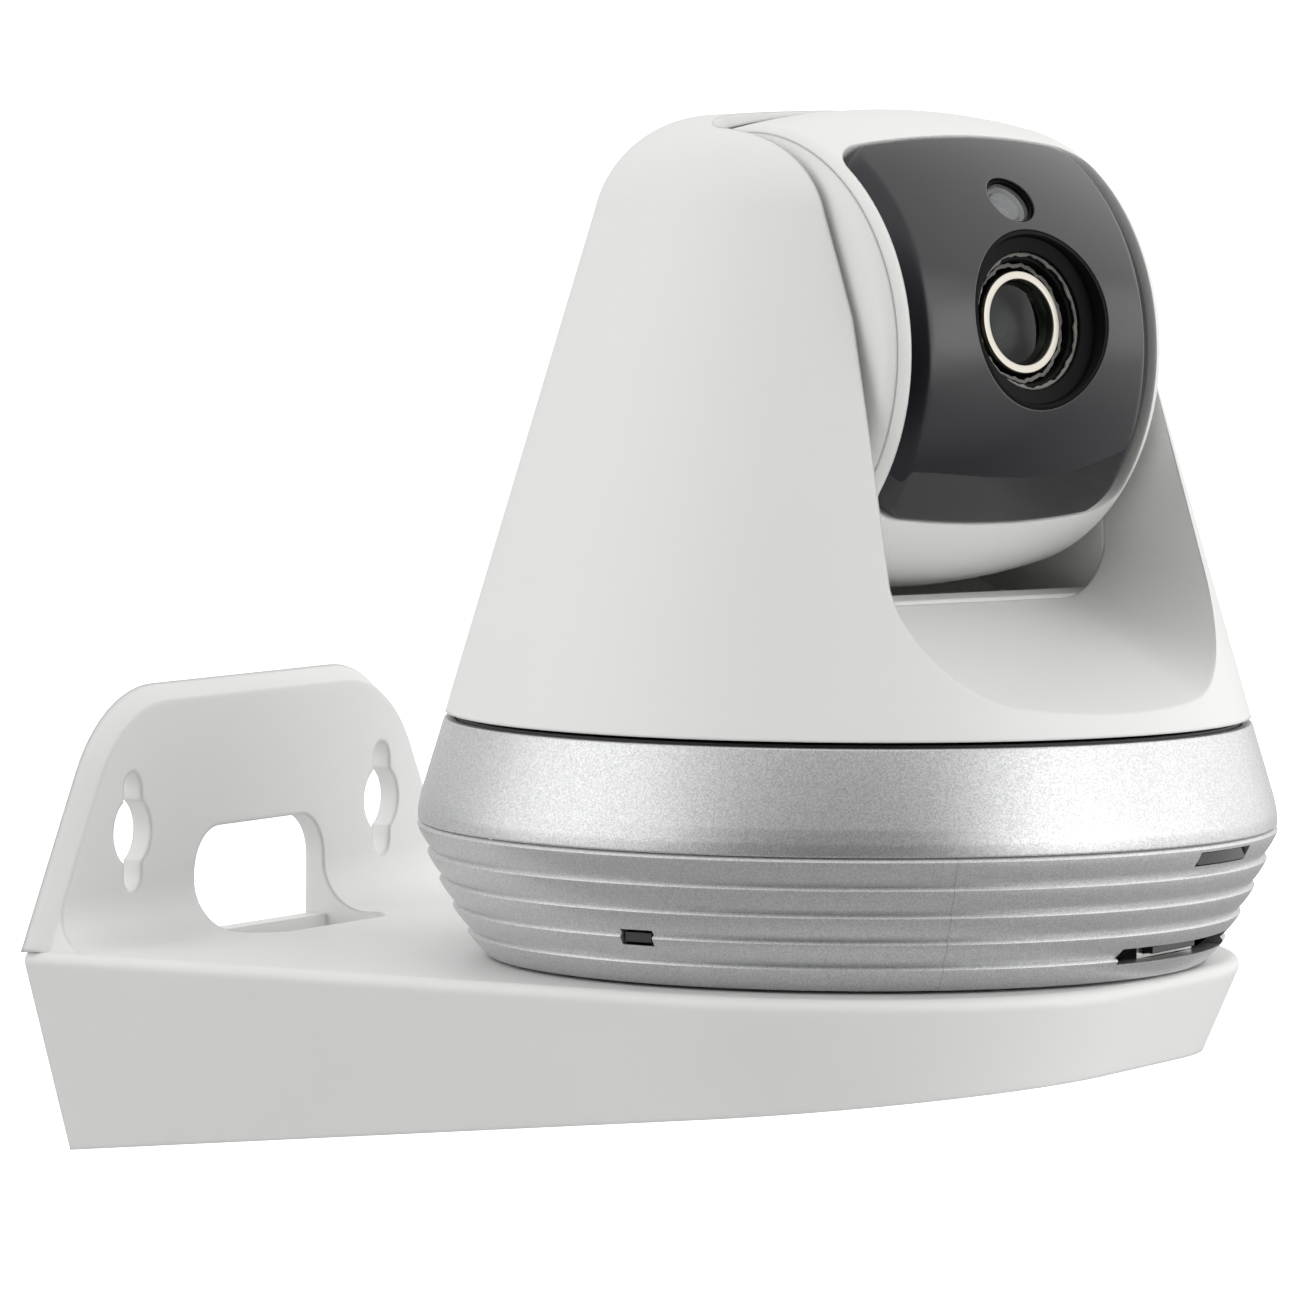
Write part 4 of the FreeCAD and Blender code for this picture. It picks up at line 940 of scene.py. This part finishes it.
fit(lathe("pan_pinion_shaft", pin_line, ON_BASE @ pinion_place, axle_steel, around=48),
    "pan_pinion", axle_steel, "gear_nylon")
pin_line = eased([(0.0, 26.0, 0), (0.89, 26.0), (0.89, 31.0), (0.0, 31.0, 0)], 0.15)
fit(lathe("tilt_pinion_shaft", pin_line, tilt_pinion_place, axle_steel,
          around=48),
    "tilt_pinion", axle_steel, "gear_nylon")
paint(axle_steel, "tilt_axles", "tilt_train_pins")

# ---- Camera screw -----------------------------------------------------------------------------------
# The quarter-inch screw that holds the camera to the shelf from below: a black moulded grip with
# eighteen flutes, a coin slot across it, and a plated steel shank.
black_part, tree, shader = with_skin("plastic_black", moulded, 0.006, 0.2, Colour=(0.022, 0.022, 0.023, 1),
                                     Cloud=0.3,
                                     Grain_size=0.2, Gloss=0.46)
grip = wheel_rule.make("camera_screw_grip", Matrix.Identity(4), black_part, Teeth=18, Tip_radius=10.5,
                       Root_radius=9.75,
                       Bore=3.1, Lower_face=-12.5, Upper_face=-6.2, Land=0.35, Gullet=0.95)
grip = opened(grip, [sharp_box("coin", (-7.5, -0.6, -13), (7.5, 0.6, -11.4))])
tidy_mesh(grip.data, ON_BASE, 40.0)
fit(grip, "thumb_screw", black_part, "plastic_black", "thumb_screw")
screw_steel = metal("screw_steel", (0.60, 0.60, 0.61), 0.26)
shank = [(0.0, -11.4, 0), (3.08, -11.4, 0), (3.08, -6.25, 0), (5.95, -6.2), (5.95, -3.75), (3.1, -3.7, 0)]
level = -3.4
while level < 7.6:
    shank += [(2.75, level + 0.3, 0), (3.14, level + 0.9, 0)]
    level += 1.27
shank += [(2.7, 8.0), (2.3, 8.35), (0.0, 8.35, 0)]
fit(lathe("camera_screw_shank", eased(shank, 0.15), ON_BASE, screw_steel, around=72), "thumb_screw",
    screw_steel,
    "screw_steel")
nylon_washer = lathe("screw_washer_nylon",
                     eased([(3.27, -3.63), (7.98, -3.63), (7.98, -2.57), (3.27, -2.57)], 0.2),
                     ON_BASE, nylon, around=96)
fit(nylon_washer, "screw_washer", nylon, "gear_nylon", "screw_washer")

# ---- Small screws -----------------------------------------------------------------------------------
# Four thread-forming screws hold the bottom cover and four hold the yoke to its turntable. Each has a
# pan head with a slot and a ribbed shank; they stand in mirrored pairs round the axis.
screw_rule = Recipe("screws_in_pairs",
                    {"Middle": 180.0, "Near": 45.0, "Far": 118.0, "Circle": 40.0, "Head radius": 1.5,
                                        "Head low": 28.3, "Head high": 29.2, "Shank radius": 1.0,
                     "Shank top": 34.0,
                                        "Thread pitch": 0.5, "Slot": 0.35})
take = screw_rule.come
four = screw_rule.add("GeometryNodeMeshLine")
four.inputs["Count"].default_value = 4
number = screw_rule.add("GeometryNodeInputIndex").outputs[0]
side = screw_rule.sum("MULTIPLY_ADD", screw_rule.sum("MODULO", number, 2.0), 2.0, -1.0)
outer_pair = screw_rule.sum("GREATER_THAN", number, 1.5)
swing_by = screw_rule.add("ShaderNodeMix", outer_pair, None, take["Near"], take["Far"]).outputs[0]
bearing = screw_rule.sum("RADIANS", screw_rule.sum("MULTIPLY_ADD", side, swing_by, take["Middle"]))
stand_at = screw_rule.point(screw_rule.sum("MULTIPLY", take["Circle"], screw_rule.sum("SINE", bearing)),
                            screw_rule.sum("MULTIPLY", take["Circle"],
                                           screw_rule.sum("MULTIPLY", screw_rule.sum("COSINE", bearing),
                                                          -1.0)), 0.0)
spots = screw_rule.add("GeometryNodeSetPosition", four.outputs[0])
screw_rule.tree.links.new(stand_at, spots.inputs["Position"])


def screw_drum(top_radius, low_radius, low, high, sides=32):
    """One turned stretch of the screw between two heights."""
    drum = screw_rule.add("GeometryNodeMeshCone")
    drum.inputs["Vertices"].default_value = sides
    for name, feed in (("Radius Top", top_radius), ("Radius Bottom", low_radius),
                       ("Depth", screw_rule.sum("SUBTRACT", high, low))):
        if isinstance(feed, bpy.types.NodeSocket):
            screw_rule.tree.links.new(feed, drum.inputs[name])
        else:
            drum.inputs[name].default_value = feed
    moved = screw_rule.add("GeometryNodeTransform", drum.outputs["Mesh"])
    screw_rule.tree.links.new(screw_rule.point(0.0, 0.0, low), moved.inputs["Translation"])
    return moved.outputs[0]


crown = screw_rule.sum("MULTIPLY", take["Head radius"], 0.8)
head_part = screw_drum(take["Head radius"], crown, take["Head low"], take["Head high"])
slot_tool = screw_rule.add("GeometryNodeMeshCube")
screw_rule.tree.links.new(screw_rule.point(screw_rule.sum("MULTIPLY", take["Head radius"], 4.0), take["Slot"],
                                           take["Slot"]), slot_tool.inputs["Size"])
slot_at = screw_rule.add("GeometryNodeTransform", slot_tool.outputs[0])
screw_rule.tree.links.new(screw_rule.point(0.0, 0.0, take["Head low"]), slot_at.inputs["Translation"])
slotted = screw_rule.add("GeometryNodeMeshBoolean")
slotted.operation = "DIFFERENCE"
screw_rule.tree.links.new(head_part, slotted.inputs[0])
screw_rule.tree.links.new(slot_at.outputs[0], slotted.inputs[1])
thread = screw_rule.add("GeometryNodeMeshLine", mode="OFFSET")
turns = screw_rule.sum("DIVIDE", screw_rule.sum("SUBTRACT", take["Shank top"], take["Head high"]),
                       take["Thread pitch"])
screw_rule.tree.links.new(turns, thread.inputs["Count"])
screw_rule.tree.links.new(screw_rule.point(0.0, 0.0, take["Head high"]), thread.inputs["Start Location"])
screw_rule.tree.links.new(screw_rule.point(0.0, 0.0, take["Thread pitch"]), thread.inputs["Offset"])
root = screw_rule.sum("MULTIPLY", take["Shank radius"], 0.8)
rib = screw_drum(root, take["Shank radius"], 0.0, screw_rule.sum("MULTIPLY", take["Thread pitch"], 0.98), 24)
ribbed = screw_rule.add("GeometryNodeInstanceOnPoints", thread.outputs[0])
screw_rule.tree.links.new(rib, ribbed.inputs["Instance"])
screw_one = screw_rule.add("GeometryNodeJoinGeometry")
screw_rule.tree.links.new(slotted.outputs[0], screw_one.inputs[0])
screw_rule.tree.links.new(ribbed.outputs[0], screw_one.inputs[0])
planted = screw_rule.add("GeometryNodeInstanceOnPoints", spots.outputs[0])
screw_rule.tree.links.new(screw_one.outputs[0], planted.inputs["Instance"])
screw_rule.end(planted.outputs[0])
yoke_screws = screw_rule.make("yoke_screws_four", ON_YOKE, screw_steel)
fit(yoke_screws, "camera_yoke", screw_steel, "screw_steel", "yoke_screws")
base_screws = screw_rule.make("base_screws_four", ON_BASE, screw_steel, Middle=147.5, Near=52.5, Far=127.5,
                              Circle=28.5,
                              Head_radius=1.25, Head_low=0.75, Head_high=1.6, Shank_radius=1.2, Shank_top=4.2)
fit(base_screws, "bracket_and_base", screw_steel, "screw_steel", "base_screws")

# ---- Infrared lamps ---------------------------------------------------------------------------------
# Eight clear epoxy lamps on the round board behind the panel, evenly spaced round the lens.
ring_rule = Recipe("pieces_on_a_ring", {"Count": 8, "Ring radius": 12.4, "First at": 22.5})
ring_rule.tree.interface.new_socket("Pattern", in_out="INPUT", socket_type="NodeSocketObject")
take = ring_rule.come
dots = ring_rule.add("GeometryNodeMeshCircle")
ring_rule.tree.links.new(take["Count"], dots.inputs["Vertices"])
ring_rule.tree.links.new(take["Ring radius"], dots.inputs["Radius"])
started = ring_rule.add("GeometryNodeTransform", dots.outputs[0])
ring_rule.tree.links.new(ring_rule.point(0.0, 0.0, ring_rule.sum("RADIANS", take["First at"])),
                         started.inputs["Rotation"])
pattern = ring_rule.add("GeometryNodeObjectInfo")
ring_rule.tree.links.new(take["Pattern"], pattern.inputs["Object"])
set_round = ring_rule.add("GeometryNodeInstanceOnPoints", started.outputs[0])
ring_rule.tree.links.new(pattern.outputs["Geometry"], set_round.inputs["Instance"])
ring_rule.end(set_round.outputs[0])
lamp_clear, tree, shader = with_skin("lamp_dark", moulded, 0.001, Colour=(0.55, 0.57, 0.62, 1), Cloud=0.1,
                                     Gloss=0.06,
                                     Gloss_spread=0.03)
shader.inputs["Transmission Weight"].default_value = 0.6
bulb_line = [(0, 18.42), (1.5, 18.42), (1.5, 19.0), (1.42, 19.05), (1.42, 20.4)]
bulb_line += [(1.42 * math.cos(math.radians(t)),
               20.4 + 1.42 * math.sin(math.radians(t))) for t in range(15, 90, 15)]
bulb = lathe("bulb", bulb_line + [(0, 21.82)], Matrix.Identity(4), lamp_clear, around=28)
lamps = ring_rule.make("infrared_lamps_eight", ON_HEAD @ Matrix.Rotation(math.pi / 2, 4, "X"), lamp_clear,
                       Pattern=bulb)
bpy.data.objects.remove(bulb)
fit(lamps, "camera_head", lamp_clear, "lamp_dark", "ir_lamps")

# ---- Speaker ----------------------------------------------------------------------------------------
# A small dynamic speaker over the grille: a pressed steel basket and magnet, and a paper cone with a
# rolled edge and a dust cap.
speaker_low, speaker_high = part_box("speaker_cone")
speaker_mid = (speaker_low + speaker_high) / 2
ON_SPEAKER = Matrix.Translation((speaker_mid.x, speaker_mid.y, shelf_top)) @ MILLIMETRES
paper_cone, tree, shader = with_skin("paper_cone", moulded, 0.03, Colour=(0.035, 0.034, 0.032, 1), Cloud=0.5,
                                     Grain_size=0.5, Gloss=0.75)
cone_top = [(0, 3.62), (1.5, 3.45), (3.2, 3.05), (4.0, 3.25), (6.0, 3.05), (8.6, 2.78), (9.2, 2.62),
            (9.8, 2.72),
            (10.4, 2.62), (11.25, 2.62)]
cone_line = cone_top + [(r, h + 0.28) for r, h in reversed(cone_top)]
cone = lathe("speaker_cone_paper", cone_line, ON_SPEAKER, paper_cone, around=96)
fit(cone, "bracket_and_base", paper_cone, "paper_cone", "speaker_cone")
speaker_steel = metal("speaker_steel", (0.45, 0.45, 0.46), 0.3)
basket_line = eased([(11.45, 2.35), (12.95, 2.35), (12.95, 4.95), (12.3, 5.1), (11.7, 5.78), (8.1, 5.78),
                     (7.95, 8.35),
                     (0, 8.35, 0), (0, 5.1, 0), (11.45, 5.05)], 0.2)
basket = lathe("speaker_basket", basket_line, ON_SPEAKER, speaker_steel, around=96)
fit(basket, "bracket_and_base", speaker_steel, "speaker_steel", "speaker_frame")

# ---- Circuit boards ---------------------------------------------------------------------------------
# Green-masked glass-fibre boards with copper tracks under the mask, moulded black chips, a tinned
# shield, a card socket of pressed steel and the other parts soldered to them.
printed = Effect("board_print",
                 {"Colour": (0.02, 0.12, 0.05, 1), "Track": (0.05, 0.25, 0.10, 1), "Pitch": 1.3,
                                 "Gloss": 0.3},
                 {"Colour": "Color", "Roughness": "Float", "Height": "Float"})
spot = printed.add("ShaderNodeTexCoord").outputs["Object"]
cells = printed.add("ShaderNodeTexVoronoi", spot, feature="F1", distance="MANHATTAN")
printed.tree.links.new(reckon(printed.tree, "DIVIDE", 330.0, printed.come["Pitch"]), cells.inputs["Scale"])
rings = reckon(printed.tree, "FRACT", reckon(printed.tree, "MULTIPLY", cells.outputs["Distance"], 4.0))
track = reckon(printed.tree, "LESS_THAN", rings, 0.3)
weave = printed.add("ShaderNodeTexNoise", spot)
weave.inputs["Scale"].default_value = 2500.0
blend = printed.add("ShaderNodeMix", data_type="RGBA")
printed.tree.links.new(track, blend.inputs[0])
printed.tree.links.new(printed.come["Colour"], blend.inputs[6])
printed.tree.links.new(printed.come["Track"], blend.inputs[7])
printed.give("Colour", blend.outputs[2])
printed.give("Roughness",
             reckon(printed.tree, "MULTIPLY_ADD", weave.outputs["Fac"], 0.1, printed.come["Gloss"]))
printed.give("Height", reckon(printed.tree, "MULTIPLY_ADD", weave.outputs["Fac"], 0.1, track))
board, tree, shader = with_skin("board_green", printed, 0.02, Colour=(0.012, 0.085, 0.035, 1),
                                Track=(0.03, 0.17, 0.06, 1), Gloss=0.25)
chip_black, tree, shader = with_skin("chip_black", moulded, 0.01, 0.1, Colour=(0.02, 0.02, 0.022, 1),
                                     Cloud=0.3,
                                     Grain_size=0.08, Gloss=0.55)
tinned = metal("tinned_steel", (0.66, 0.66, 0.64), 0.32, 0.4)
card_black, tree, shader = with_skin("card_black", moulded, 0.002, 0.1, Colour=(0.018, 0.018, 0.02, 1),
                                     Gloss=0.35)
led_clear, tree, shader = with_skin("led_clear", moulded, 0.001, 0.05, Colour=(0.75, 0.76, 0.70, 1),
                                    Gloss=0.15)
paint(board, "main_board", "led_board", "camera_board", "lamp_board", "wifi_antenna")
paint(chip_black, "main_chips", "camera_chips", "image_sensor")
paint(tinned, "shield_can", "microsd_socket")
paint(card_black, "memory_card")
paint(led_clear, "status_leds")

leg_rule = Recipe("chip_legs", {"Rows": 2, "Legs per row": 12, "Pitch": 0.8, "Half width": 5.0, "Out": 0.9,
                                "Level": 5.6, "Rise": 0.7, "Thick": 0.3})
take = leg_rule.come
line = leg_rule.add("GeometryNodeMeshLine", mode="OFFSET")
leg_rule.tree.links.new(leg_rule.sum("MULTIPLY", take["Rows"], take["Legs per row"]), line.inputs["Count"])
number = leg_rule.add("GeometryNodeInputIndex").outputs[0]
in_row = leg_rule.sum("MODULO", number, take["Legs per row"])
which = leg_rule.sum("MULTIPLY_ADD",
                     leg_rule.sum("FLOOR", leg_rule.sum("DIVIDE", number, take["Legs per row"])), 2.0, -1.0)
middle = leg_rule.sum("MULTIPLY", leg_rule.sum("SUBTRACT", take["Legs per row"], 1.0), 0.5)
at_x = leg_rule.sum("MULTIPLY", leg_rule.sum("SUBTRACT", in_row, middle), take["Pitch"])
reach = leg_rule.sum("MULTIPLY_ADD", take["Out"], 0.5, take["Half width"])
set_legs = leg_rule.add("GeometryNodeSetPosition", line.outputs[0])
leg_rule.tree.links.new(leg_rule.point(at_x, leg_rule.sum("MULTIPLY", which, reach),
                                       leg_rule.sum("MULTIPLY_ADD", take["Rise"], 0.5, take["Level"])),
                        set_legs.inputs["Position"])
leg = leg_rule.add("GeometryNodeMeshCube")
leg_rule.tree.links.new(leg_rule.point(take["Thick"], take["Out"], take["Rise"]), leg.inputs["Size"])
legs = leg_rule.add("GeometryNodeInstanceOnPoints", set_legs.outputs[0])
leg_rule.tree.links.new(leg.outputs[0], legs.inputs["Instance"])
leg_rule.end(legs.outputs[0])
turn_chip = ON_BASE @ Matrix.Rotation(math.radians(-20), 4, "Z") @ Matrix.Translation((0, -19, 0))
chip_legs = leg_rule.make("processor_legs", turn_chip, tinned)
fit(chip_legs, "bracket_and_base", tinned, "tinned_steel")

# ---- Motors and the rest of the works -----------------------------------------------------------------
# Two small geared stepper motors in drawn steel cans, the brass insert that takes the camera screw, and
# the plain moulded and turned parts, all used as drawn.
motor_steel = metal("motor_steel", (0.52, 0.52, 0.52), 0.28, 0.3)
brass = metal("brass", (0.62, 0.47, 0.22), 0.28, 0.2)
rubber, tree, shader = with_skin("rubber_black", moulded, 0.03, 0.2, Colour=(0.03, 0.03, 0.031, 1), Cloud=0.4,
                                 Grain_size=0.3, Gloss=0.75)
grey, tree, shader = with_skin("plastic_grey", moulded, 0.006, 0.2, Colour=(0.36, 0.37, 0.38, 1), Cloud=0.06,
                               Gloss=0.5)
filter_glass, tree, shader = with_skin("filter_glass", moulded, 0.0, Colour=(0.45, 0.75, 0.85, 1), Cloud=0.05,
                                       Gloss=0.03)
shader.inputs["Transmission Weight"].default_value = 0.7
paint(motor_steel, "pan_motor", "tilt_motor", "filter_coil")
paint(brass, "tripod_insert")
paint(rubber, "foot_ring")
paint(grey, "bottom_cover")
paint(black_part, "base_deck", "turntable", "power_inlet", "reset_switch", "lens_mount", "filter_plate",
      "reset_button")
paint(nylon, "turntable_washers", "tilt_bushes")
paint(filter_glass, "filter_glass")
paint(screw_steel, "head_standoffs")
